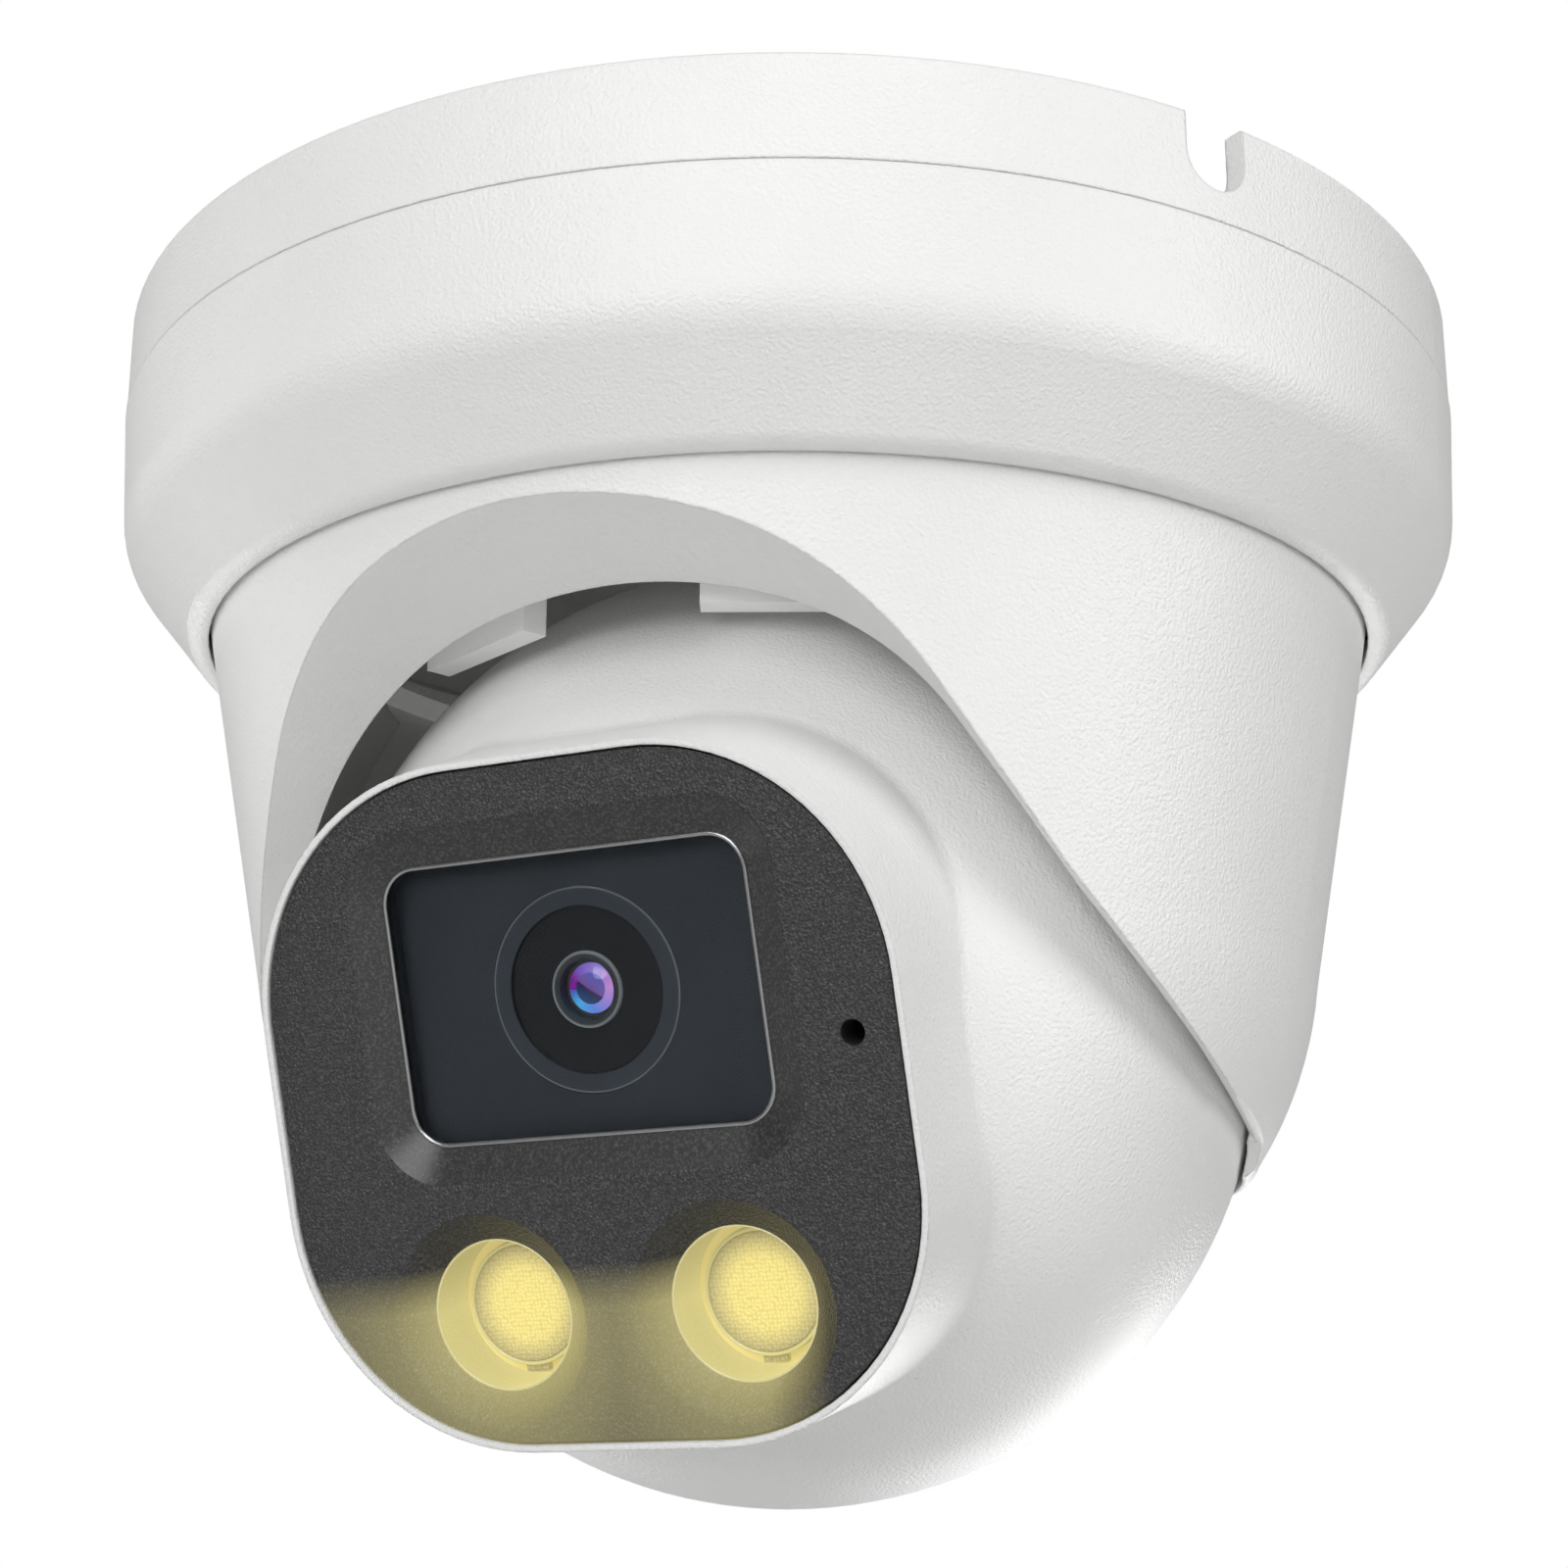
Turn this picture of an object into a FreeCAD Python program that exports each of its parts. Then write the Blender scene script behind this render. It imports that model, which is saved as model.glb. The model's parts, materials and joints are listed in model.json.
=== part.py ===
import FreeCAD, Part
import math
import os
import Sketcher

V = FreeCAD.Vector
doc = FreeCAD.newDocument("security_camera")

# Driving dimensions in millimetres and degrees. The ceiling plane is z = 0, the camera hangs
# below it, and its front faces -Y.
DIMENSIONS = {
    # mounting base and trim ring
    "base_radius": 62.95, "base_depth": 9.2, "base_rim": 2.2, "base_floor": 2.8, "edge_round": 0.5,
    "collar_radius": 58.0, "collar_wall": 2.2, "collar_depth": 17.3,
    "cable_hole_radius": 10.5, "grommet_lip": 1.9, "grommet_bore": 6.0, "grommet_recess": 1.0,
    "screw_circle": 42.0, "screw_hole": 2.3, "screw_head": 4.4, "screw_count": 4,
    "notch_angle": 57.2, "notch_width": 6.1, "notch_depth": 6.5, "notch_room_from": 52.5,
    "notch_room_to": 78.0, "notch_room_inner": 45.5,
    "gasket_inner": 50.0, "gasket_width": 5.0, "gasket_depth": 1.0,
    "trim_radius": 63.05, "trim_seam": 0.14, "trim_sleeve_top": 6.9, "trim_play": 0.35,
    "trim_wall_end": 19.1, "trim_shoulder": 62.52, "trim_cone_radius": 61.32, "trim_cone_start": 22.49,
    "trim_corner": 6.0, "trim_lip_radius": 55.7, "trim_bottom": 29.5, "trim_mouth": 54.3,
    "trim_lip_round": 2.0, "trim_inset": 2.4, "trim_throat": 2.7, "trim_throat_flare": 0.5,
    "lock_screw_radius": 1.5, "lock_screw_depth": 13.2, "lock_screw_length": 4.2,
    # swivel housing
    "flange_radius": 57.1, "flange_top": 18.6, "washer_gap": 0.2, "washer_wall": 3.3, "washer_thick": 0.9,
    "skirt_top_radius": 54.03, "skirt_top": 29.0, "skirt_low_radius": 48.05, "skirt_low": 61.3,
    "skirt_belly": 36.0, "skirt_rim_radius": 42.2, "skirt_rim": 76.9, "skirt_bottom": 78.4,
    "skirt_tip_radius": 40.95, "skirt_tip_round": 2.6,
    "bore_top_radius": 48.7, "bore_top": 31.0, "bore_low_radius": 44.7, "bore_low": 66.0,
    "seat_shoulder_radius": 43.9, "seat_shoulder": 70.4, "seat_gap": 0.45, "seat_top": 73.5,
    "ledge_radius": 52.6, "ledge_depth": 24.0, "housing_gap": 0.4,
    "lining_radius": 45.6, "lining_centre": 56.7, "lining_top": 32.0, "lining_low": 58.0,
    "lining_span": 150.0, "lining_lap": 0.6,
    "opening_turn": 1.5, "opening_front": 54.0, "opening_top": 31.2, "opening_draft": 10.2,
    "crown_radius": 56.0, "crown_angle": 16.0, "shoulder_radius": 29.5, "side_angle": 55.0,
    "opening_half_low": 40.1, "foot_angle": 50.0, "opening_run": 58.5, "opening_below": 100.0,
    "chin_angle": 55.8, "chin_floor_angle": 9.9, "chin_blend": 50.5, "chin_start": 74.0,
    "chin_corner_y": 24.37, "chin_corner_depth": 70.91, "opening_tail": 4.5, "opening_tail_round": 4.5,
    "pin_radius": 2.0, "pin_fit": 0.06, "pin_reach": 46.6,
    # socket bracket
    "bracket_thick": 1.6, "bracket_inner": 47.0, "bracket_play": 0.3, "finger_radius": 34.0,
    "finger_thick": 2.4, "finger_half": 7.1, "finger_angle": 24.0, "finger_end": 35.2,
    "bracket_screws": 4, "bracket_screw_circle": 50.4, "bracket_screw_radius": 1.0,
    "bracket_screw_length": 3.8, "bracket_pilot": 2.4,
    # ball
    "ball_radius": 42.8, "ball_centre": 63.5, "ball_wall": 2.4, "ball_tilt": 19.22, "ball_seam": 16.0,
    "ball_back": 30.0, "face_plane": 41.64, "face_rim": 0.2, "face_half_width": 27.29,
    "face_half_height": 26.83, "face_corner": 19.23, "face_lift": 0.67, "rim_width": 0.75,
    "boss_draft": 5.0, "boss_depth": 24.0, "boss_blend": 1.6, "panel_gap": 0.2, "panel_thick": 2.64,
    "panel_bed": 0.5, "bed_width": 2.0, "bed_thick": 2.2, "cavity_inset": 1.4, "cavity_depth": 22.0,
    "neck_radius": 15.0, "neck_fit": 0.08, "neck_bore": 12.0, "neck_length": 6.0, "neck_end": 2.0,
    "gland_radius": 6.0, "gland_bore": 3.2, "shell_screws": 4, "shell_screw_circle": 32.0,
    "shell_screw_radius": 1.25, "shell_post": 3.3, "seal_width": 1.4, "seal_depth": 0.9,
    # cradle
    "cradle_gap": 0.35, "cradle_thick": 0.85, "cradle_arm": 5.0, "cradle_disc": 24.0,
    "cradle_plate": 1.2, "pole_radius": 6.0,
    # face details
    "window_width": 38.2, "window_height": 29.0, "window_corner": 6.0, "window_rise": 9.0,
    "bevel_inset": 3.05, "bevel_depth": 1.5, "glass_lip": 0.3, "glass_thick": 1.0, "glass_lap": 1.1,
    "bezel_depth": 3.7, "bezel_thick": 1.2, "bezel_wall": 1.0, "lens_ring": 8.25, "lens_disc": 6.7,
    "lens_mouth": 3.05, "lens_radius": 2.4, "barrel_radius": 7.0, "barrel_end": 18.0,
    "led_offset": 10.7, "led_drop": 16.3, "led_cone": 8.6, "led_tube": 6.1, "led_cone_depth": 2.2,
    "led_tube_wall": 1.1, "led_tube_depth": 12.94, "led_lens_depth": 6.0, "led_lens_radius": 4.75,
    "led_lens_base": 2.4, "led_lens_height": 6.0, "led_tab": 2.0,
    "mic_offset": 23.65, "mic_rise": 4.2, "mic_hole": 1.0,
}

sheet = doc.addObject("Spreadsheet::Sheet", "Dims")
for row, (alias, number) in enumerate(DIMENSIONS.items(), start=1):
    sheet.set("A%d" % row, alias)
    sheet.set("B%d" % row, str(number))
    sheet.setAlias("B%d" % row, alias)
doc.recompute()


class Size:
    """A number together with the spreadsheet expression that gives it."""

    def __init__(self, value, text):
        self.value = value
        self.text = text

    def joined(self, other, sign, value):
        return Size(value, "(%s %s %s)" % (self.text, sign, other.text))

    def __add__(self, other):
        other = sized(other)
        return self.joined(other, "+", self.value + other.value)

    def __radd__(self, other):
        return sized(other) + self

    def __sub__(self, other):
        other = sized(other)
        return self.joined(other, "-", self.value - other.value)

    def __rsub__(self, other):
        return sized(other) - self

    def __mul__(self, other):
        other = sized(other)
        return self.joined(other, "*", self.value * other.value)

    def __rmul__(self, other):
        return sized(other) * self

    def __truediv__(self, other):
        other = sized(other)
        return self.joined(other, "/", self.value / other.value)

    def __neg__(self):
        return Size(-self.value, "(0 - %s)" % self.text)


def sized(item):
    return item if isinstance(item, Size) else Size(float(item), repr(float(item)))


def root(item):
    return Size(math.sqrt(item.value), "sqrt(%s)" % item.text)


def sine(angle):
    return Size(math.sin(math.radians(angle.value)), "sin(%s * 1 deg)" % angle.text)


def cosine(angle):
    return Size(math.cos(math.radians(angle.value)), "cos(%s * 1 deg)" % angle.text)


def on_ball(radius, offset):
    """Distance from the axis of a point of a sphere at the given offset from its centre."""
    return root(radius * radius - offset * offset)


class Dims:
    """Reads each driving dimension back from the spreadsheet."""

    def __getattr__(self, alias):
        return Size(float(sheet.get(alias)), "Dims.%s" % alias)


d = Dims()
ZERO = sized(0)


def bind(item, prop, size):
    item.setExpression(prop, sized(size).text)


def new_body(label):
    item = doc.addObject("PartDesign::Body", label)
    item.Label = label
    return item


def plane(item, role):
    return next(part for part in item.Origin.OriginFeatures if part.Role == role)


def new_sketch(item, name, role, lift=ZERO):
    sketch = item.newObject("Sketcher::SketchObject", name)
    sketch.AttachmentSupport = [(plane(item, role), "")]
    sketch.MapMode = "FlatFace"
    if lift.value:
        bind(sketch, "AttachmentOffset.Base.z", lift)
    return sketch


def pin_point(sketch, shape, end, x, y):
    """Holds one point of a sketch at x, y, bound to the spreadsheet."""
    for kind, axis, size in (("DistanceX", -2, x), ("DistanceY", -1, y)):
        if abs(size.value) < 1e-9:
            sketch.addConstraint(Sketcher.Constraint("PointOnObject", shape, end, axis))
        else:
            number = sketch.addConstraint(Sketcher.Constraint(kind, -1, 1, shape, end, size.value))
            sketch.setExpression("Constraints[%d]" % number, size.text)


def arc_between(start, stop, radius, turn):
    """Short arc from start to stop; turn is +1 when it runs anticlockwise and -1 when clockwise."""
    chord = stop - start
    half = chord.Length / 2
    away = math.sqrt(max(radius * radius - half * half, 0)) * turn
    side = V(-chord.y, chord.x, 0).normalize()
    middle = (start + stop) / 2 + side * away
    outward = (start + stop) / 2 - middle
    outward = outward.normalize() if outward.Length > 1e-9 else side * -turn
    return Part.Arc(start, middle + outward * radius, stop)


def outline(sketch, corners):
    """Closed loop. A corner is (x, y), or (x, y, radius, turn) when an arc leads to the next one."""
    corners = [tuple(sized(value) for value in corner[:3]) + tuple(corner[3:]) for corner in corners]
    first = None
    last = None
    for place, corner in enumerate(corners):
        after = corners[(place + 1) % len(corners)]
        start = V(corner[0].value, corner[1].value, 0)
        stop = V(after[0].value, after[1].value, 0)
        if len(corner) == 4:
            arc = arc_between(start, stop, corner[2].value, corner[3])
            shape = sketch.addGeometry(arc, False)
            ends = (1, 2) if corner[3] > 0 else (2, 1)
            number = sketch.addConstraint(Sketcher.Constraint("Radius", shape, corner[2].value))
            sketch.setExpression("Constraints[%d]" % number, corner[2].text)
        else:
            shape = sketch.addGeometry(Part.LineSegment(start, stop), False)
            ends = (1, 2)
        pin_point(sketch, shape, ends[0], corner[0], corner[1])
        if last is not None:
            sketch.addConstraint(Sketcher.Constraint("Coincident", last[0], last[1], shape, ends[0]))
        if first is None:
            first = (shape, ends[0])
        last = (shape, ends[1])
    sketch.addConstraint(Sketcher.Constraint("Coincident", last[0], last[1], first[0], first[1]))


def circle(sketch, x, y, radius):
    x, y, radius = sized(x), sized(y), sized(radius)
    shape = sketch.addGeometry(Part.Circle(V(x.value, y.value, 0), V(0, 0, 1), radius.value), False)
    pin_point(sketch, shape, 3, x, y)
    number = sketch.addConstraint(Sketcher.Constraint("Radius", shape, radius.value))
    sketch.setExpression("Constraints[%d]" % number, radius.text)


def rectangle(sketch, x, y, half_width, half_height):
    outline(sketch, [
        (x - half_width, y - half_height), (x + half_width, y - half_height),
        (x + half_width, y + half_height), (x - half_width, y + half_height)])


def rounded(sketch, x, y, half_width, half_height, corner):
    x, y, corner = sized(x), sized(y), sized(corner)
    left, right = x - half_width, x + half_width
    low, high = y - half_height, y + half_height
    outline(sketch, [
        (left + corner, low), (right - corner, low, corner, 1),
        (right, low + corner), (right, high - corner, corner, 1),
        (right - corner, high), (left + corner, high, corner, 1),
        (left, high - corner), (left, low + corner, corner, 1)])


def feature(item, kind, name, sketch, **options):
    made = item.newObject("PartDesign::%s" % kind, name)
    made.Profile = sketch
    for prop, value in options.items():
        if isinstance(value, Size):
            bind(made, prop, value)
        else:
            setattr(made, prop, value)
    sketch.Visibility = False
    item.Tip = made
    return made


def turn_about(item, kind, name, corners, role="XZ_Plane", lift=ZERO):
    """Revolution or Groove of a closed outline about the upright axis of its sketch."""
    sketch = new_sketch(item, name + "_outline", role, lift)
    outline(sketch, corners)
    return feature(item, kind, name, sketch, ReferenceAxis=(sketch, ["V_Axis"]), Angle=360.0)


def extrude(item, kind, name, role, lift, draw, **options):
    """Pad or Pocket of whatever draw puts in a sketch lifted off an origin plane."""
    sketch = new_sketch(item, name + "_outline", role, sized(lift))
    draw(sketch)
    return feature(item, kind, name, sketch, **options)


def around(item, name, originals, count, role="XY_Plane", axis="N_Axis"):
    """Repeats features around an axis of one of the body's own sketches or planes."""
    made = item.newObject("PartDesign::PolarPattern", name)
    made.Originals = originals
    made.Axis = axis_of(item, role)
    made.Angle = 360.0
    bind(made, "Occurrences", count)
    item.Tip = made
    return made


def axis_of(item, role):
    names = {"XY_Plane": "Z_Axis", "XZ_Plane": "Y_Axis", "YZ_Plane": "X_Axis"}
    return (plane(item, names[role]), [""])


def round_edges(item, name, radius, chosen):
    """Fillet of every edge of the current tip that chosen(edge) accepts."""
    doc.recompute()
    base = item.Tip
    names = ["Edge%d" % (place + 1) for place, edge in enumerate(base.Shape.Edges) if chosen(edge)]
    made = item.newObject("PartDesign::Fillet", name)
    made.Base = (base, names)
    bind(made, "Radius", radius)
    item.Tip = made
    return made


def middle(edge):
    return edge.valueAt((edge.FirstParameter + edge.LastParameter) / 2)


def tilt_with_ball(item):
    """Carries a piece drawn around the ball centre, facing -Y, to its place in the camera."""
    turned = FreeCAD.Rotation(V(1, 0, 0), d.ball_tilt.value)
    item.Placement = FreeCAD.Placement(V(0, 0, -d.ball_centre.value), turned)
    bind(item, "Placement.Base.z", -d.ball_centre)
    bind(item, "Placement.Rotation.Angle", d.ball_tilt)
    return item


def facing(sketch, angle, stand_off=ZERO):
    """Turns an upright sketch about the Z axis, towards +X, and moves it out from the axis."""
    sketch.AttachmentOffset = FreeCAD.Placement(V(0, 0, 0), FreeCAD.Rotation(V(0, 1, 0), angle.value))
    bind(sketch, "AttachmentOffset.Base.x", stand_off * sine(angle))
    bind(sketch, "AttachmentOffset.Base.z", stand_off * cosine(angle))
    bind(sketch, "AttachmentOffset.Rotation.Angle", angle)


def radial_block(sketch, angle, inner, outer, half):
    """Rectangle lying along a spoke, angle measured from +X."""
    inner, outer, half, angle = sized(inner), sized(outer), sized(half), sized(angle)
    along_x, along_y = cosine(angle), sine(angle)
    outline(sketch, [
        (inner * along_x + half * along_y, inner * along_y - half * along_x),
        (outer * along_x + half * along_y, outer * along_y - half * along_x),
        (outer * along_x - half * along_y, outer * along_y + half * along_x),
        (inner * along_x - half * along_y, inner * along_y + half * along_x)])


# ---- mounting base ---------------------------------------------------------------------------
rim_inner = d.base_radius - d.base_rim
collar_inner = d.collar_radius - d.collar_wall
grommet_radius = d.cable_hole_radius + d.grommet_lip
gasket_outer = d.gasket_inner + d.gasket_width

base = new_body("mounting_base")
turn_about(base, "Revolution", "BaseCup", [
    (grommet_radius, ZERO), (d.gasket_inner, ZERO), (d.gasket_inner, -d.gasket_depth),
    (gasket_outer, -d.gasket_depth), (gasket_outer, ZERO), (d.base_radius, ZERO),
    (d.base_radius, -d.base_depth), (rim_inner, -d.base_depth), (rim_inner, -d.base_floor),
    (d.collar_radius, -d.base_floor), (d.collar_radius, -d.collar_depth),
    (collar_inner, -d.collar_depth), (collar_inner, -d.base_floor),
    (d.cable_hole_radius, -d.base_floor), (d.cable_hole_radius, -d.grommet_recess),
    (grommet_radius, -d.grommet_recess)])
hole = extrude(base, "Pocket", "ScrewHole", "XY_Plane", ZERO,
               lambda sketch: circle(sketch, d.screw_circle * cosine(sized(45)),
                                     d.screw_circle * sine(sized(45)), d.screw_hole),
               Length=d.base_floor * 2, Reversed=False)
head = extrude(base, "Pocket", "ScrewHead", "XY_Plane", -d.base_floor,
               lambda sketch: circle(sketch, d.screw_circle * cosine(sized(45)),
                                     d.screw_circle * sine(sized(45)), d.screw_head),
               Length=d.base_floor * 0.4, Reversed=True)
around(base, "ScrewHoles", [hole, head], d.screw_count)


def notch_outline(sketch):
    half = d.notch_width / 2
    low = -d.notch_depth + half
    outline(sketch, [(-half, low, half, 1), (ZERO, low - half, half, 1), (half, low),
                     (half, d.base_rim), (-half, d.base_rim)])


def notch_room(sketch):
    """Plan of the space behind the notch where the cable bends: part of a ring inside the rim."""
    start, stop = d.notch_room_from, d.notch_room_to
    inner, outer = d.notch_room_inner, rim_inner
    outline(sketch, [
        (inner * sine(start), -inner * cosine(start)),
        (outer * sine(start), -outer * cosine(start), outer, 1),
        (outer * sine(stop), -outer * cosine(stop)),
        (inner * sine(stop), -inner * cosine(stop), inner, -1)])


notch = new_sketch(base, "Notch_outline", "XZ_Plane")
notch_start = d.collar_radius - d.collar_wall * 2
facing(notch, d.notch_angle, notch_start)
notch_outline(notch)
feature(base, "Pocket", "Notch", notch, Length=d.base_radius - notch_start + 1, Reversed=True)
extrude(base, "Pocket", "NotchRoom", "XY_Plane", ZERO, notch_room, Length=d.notch_depth, Reversed=False)
round_edges(base, "CeilingEdge", d.edge_round, lambda edge: (
    edge.Curve.TypeId == "Part::GeomCircle" and abs(edge.Curve.Radius - d.base_radius.value) < 0.01
    and abs(middle(edge).z) < 0.01))

gasket = new_body("base_gasket")
turn_about(gasket, "Revolution", "GasketRing", [
    (d.gasket_inner, ZERO), (gasket_outer, ZERO), (gasket_outer, -d.gasket_depth),
    (d.gasket_inner, -d.gasket_depth)])
extrude(gasket, "Pocket", "GasketGap", "XY_Plane", ZERO, notch_room, Length=d.gasket_depth, Reversed=False)

grommet = new_body("cable_grommet")
turn_about(grommet, "Revolution", "GrommetRing", [
    (d.grommet_bore, ZERO), (grommet_radius, ZERO), (grommet_radius, -d.grommet_recess),
    (d.cable_hole_radius, -d.grommet_recess), (d.cable_hole_radius, -d.base_floor),
    (grommet_radius, -d.base_floor), (grommet_radius, -d.base_floor - d.grommet_recess),
    (d.grommet_bore, -d.base_floor - d.grommet_recess)])

# ---- trim ring -------------------------------------------------------------------------------
seam = d.base_depth + d.trim_seam
sleeve_outer = rim_inner - d.trim_play
sleeve_inner = d.collar_radius + d.trim_play
cone_run = d.trim_bottom - d.trim_cone_start
cone_fall = d.trim_cone_radius - d.trim_lip_radius
cone_length = root(cone_run * cone_run + cone_fall * cone_fall)
trim_seat_top = d.trim_cone_start + 1
trim_seat_radius = d.trim_cone_radius - d.trim_inset * cone_length / cone_run - cone_fall / cone_run
throat_depth = d.trim_bottom - d.trim_throat
throat_radius = d.trim_mouth + d.trim_throat_flare

trim = new_body("trim_ring")
turn_about(trim, "Revolution", "TrimSection", [
    (sleeve_inner, -d.trim_sleeve_top), (sleeve_outer, -d.trim_sleeve_top), (sleeve_outer, -seam),
    (d.trim_radius, -seam), (d.trim_shoulder, -d.trim_wall_end, d.trim_corner, -1),
    (d.trim_cone_radius, -d.trim_cone_start), (d.trim_lip_radius, -d.trim_bottom),
    (d.trim_mouth, -d.trim_bottom),
    (throat_radius, -throat_depth), (trim_seat_radius, -trim_seat_top),
    (d.trim_shoulder - d.trim_inset, -d.trim_wall_end), (d.trim_shoulder - d.trim_inset, -d.collar_depth),
    (sleeve_inner, -d.collar_depth + 1)])
round_edges(trim, "LipEdge", d.trim_lip_round, lambda edge: (
    edge.Curve.TypeId == "Part::GeomCircle" and abs(edge.Curve.Radius - d.trim_lip_radius.value) < 0.01))
extrude(trim, "Pocket", "LockScrewHole", "XZ_Plane", -sleeve_inner,
        lambda sketch: circle(sketch, ZERO, -d.lock_screw_depth, d.lock_screw_radius),
        Length=d.base_radius - d.collar_radius + 2, Reversed=False)

lock = new_body("trim_lock_screw")
extrude(lock, "Pad", "LockBody", "XZ_Plane", -sleeve_inner,
        lambda sketch: circle(sketch, ZERO, -d.lock_screw_depth, d.lock_screw_radius),
        Length=d.lock_screw_length, Reversed=True)


def hexagon(sketch, x, y, radius):
    x, y, radius = sized(x), sized(y), sized(radius)
    outline(sketch, [(x + radius * cosine(sized(60 * side)), y + radius * sine(sized(60 * side)))
                     for side in range(6)])


extrude(lock, "Pocket", "LockSocket", "XZ_Plane", -sleeve_inner - d.lock_screw_length,
        lambda sketch: hexagon(sketch, ZERO, -d.lock_screw_depth, d.lock_screw_radius * 0.55),
        Length=d.lock_screw_length * 0.5, Reversed=False)

washer_inner = d.collar_radius - d.washer_wall
slip = new_body("slip_washer")
turn_about(slip, "Revolution", "SlipRing", [
    (washer_inner, -d.collar_depth), (d.collar_radius - 0.2, -d.collar_depth),
    (d.collar_radius - 0.2, -d.collar_depth - d.washer_thick),
    (washer_inner, -d.collar_depth - d.washer_thick)])

# ---- swivel housing --------------------------------------------------------------------------
along = cone_run / cone_length
across = cone_fall / cone_length
flare_low_radius = throat_radius - d.housing_gap * along
flare_low = throat_depth - d.housing_gap * across
flare_top = trim_seat_top - d.housing_gap * across
seat_radius = d.ball_radius + d.seat_gap
seat_high = d.seat_top - d.ball_centre
seat_low = d.skirt_bottom - d.ball_centre

housing = new_body("swivel_housing")
turn_about(housing, "Revolution", "Skirt", [
    (d.ledge_radius, -d.flange_top), (d.flange_radius, -d.flange_top),
    (d.flange_radius, -flare_top), (flare_low_radius, -flare_low),
    (d.skirt_top_radius, -d.skirt_top), (d.skirt_low_radius, -d.skirt_low, d.skirt_belly, -1),
    (d.skirt_rim_radius, -d.skirt_rim, d.skirt_tip_round, -1),
    (d.skirt_tip_radius, -d.skirt_bottom), (on_ball(seat_radius, seat_low), -d.skirt_bottom, seat_radius, 1),
    (on_ball(seat_radius, seat_high), -d.seat_top), (d.seat_shoulder_radius, -d.seat_shoulder),
    (d.bore_low_radius, -d.bore_low), (d.bore_top_radius, -d.bore_top),
    (d.bore_top_radius, -d.ledge_depth), (d.ledge_radius, -d.ledge_depth)])


def on_lining(depth):
    """Radius of the domed lining at a depth below the ceiling."""
    return on_ball(d.lining_radius, depth - d.lining_centre)


bore_slope = (d.bore_top_radius - d.bore_low_radius) / (d.bore_low - d.bore_top)
lining_back = d.bore_low_radius + (d.bore_low - d.lining_low) * bore_slope + d.lining_lap
lining = new_sketch(housing, "Lining_outline", "YZ_Plane")
outline(lining, [
    (-on_lining(d.lining_low), -d.lining_low, d.lining_radius, -1), (-on_lining(d.lining_top), -d.lining_top),
    (-d.bore_top_radius - d.lining_lap, -d.lining_top), (-lining_back, -d.lining_low)])
feature(housing, "Revolution", "Lining", lining, ReferenceAxis=(lining, ["V_Axis"]), Angle=d.lining_span,
        Midplane=True)


def arch(sketch):
    """Front view of the opening: a flat crown, round shoulders and sides that spread at the feet."""
    crown_x = d.crown_radius * sine(d.crown_angle)
    crown_z = -d.opening_top - d.crown_radius * (1 - cosine(d.crown_angle))
    side_x = crown_x + d.shoulder_radius * (sine(d.side_angle) - sine(d.crown_angle))
    side_z = crown_z - d.shoulder_radius * (cosine(d.crown_angle) - cosine(d.side_angle))
    foot_x = d.opening_half_low
    foot_z = side_z - (foot_x - side_x) * sine(d.side_angle) / cosine(d.side_angle)
    below = -d.opening_below
    low_x = foot_x + (foot_z - below) * cosine(d.foot_angle) / sine(d.foot_angle)
    outline(sketch, [
        (-low_x, below), (-foot_x, foot_z), (-side_x, side_z, d.shoulder_radius, -1),
        (-crown_x, crown_z, d.crown_radius, -1), (crown_x, crown_z, d.shoulder_radius, -1),
        (side_x, side_z), (foot_x, foot_z), (low_x, below)])


opening = new_sketch(housing, "Opening_outline", "XZ_Plane")
facing(opening, d.opening_turn, d.opening_front)
arch(opening)
feature(housing, "Pocket", "Opening", opening, Length=d.opening_run, TaperAngle=-d.opening_draft)


def chin_outline(sketch):
    """Side view of the lower edge: it sweeps down and back to a nearly level run with a round end."""
    steep = d.chin_angle
    level = d.chin_floor_angle
    turn = (steep - level) / 2
    reach = d.chin_blend * sine(turn) / cosine(turn)
    corner_y = -d.chin_corner_y
    corner_z = -d.chin_corner_depth
    middle_y = corner_y - reach * cosine(steep) + d.chin_blend * sine(steep)
    middle_z = corner_z + reach * sine(steep) + d.chin_blend * cosine(steep)
    first_z = -d.chin_start
    first_y = middle_y - on_ball(d.chin_blend, first_z - middle_z)
    second_y = corner_y + reach * cosine(level)
    second_z = corner_z - reach * sine(level)
    tail_y = d.opening_tail
    tail_z = corner_z - (tail_y - corner_y) * sine(level) / cosine(level)
    drop = d.opening_tail_round
    back_y = tail_y + drop * (1 - sine(level))
    front_y = -d.base_radius
    outline(sketch, [
        (front_y, first_z), (first_y, first_z, d.chin_blend, 1), (second_y, second_z),
        (tail_y, tail_z, drop, -1), (back_y, tail_z - drop * cosine(level)),
        (back_y, -d.opening_below), (front_y, -d.opening_below)])


chin = new_sketch(housing, "Chin_outline", "YZ_Plane")
facing(chin, d.opening_turn)
chin_outline(chin)
feature(housing, "Pocket", "Chin", chin, Type=1, Midplane=True)

# ---- loose groups of equal pieces --------------------------------------------------------------
def solid(kind, name, **sizes):
    made = doc.addObject("Part::%s" % kind, name)
    for prop, value in sizes.items():
        bind(made, prop, value)
    return made


def place(item, x, y, z, axis=V(0, 0, 1), angle=0.0):
    x, y, z = sized(x), sized(y), sized(z)
    item.Placement = FreeCAD.Placement(V(x.value, y.value, z.value), FreeCAD.Rotation(axis, angle))
    bind(item, "Placement.Base.x", x)
    bind(item, "Placement.Base.y", y)
    bind(item, "Placement.Base.z", z)
    return item


def joined(name, first, second):
    made = doc.addObject("Part::Fuse", name)
    made.Base, made.Tool = first, second
    return made


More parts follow.
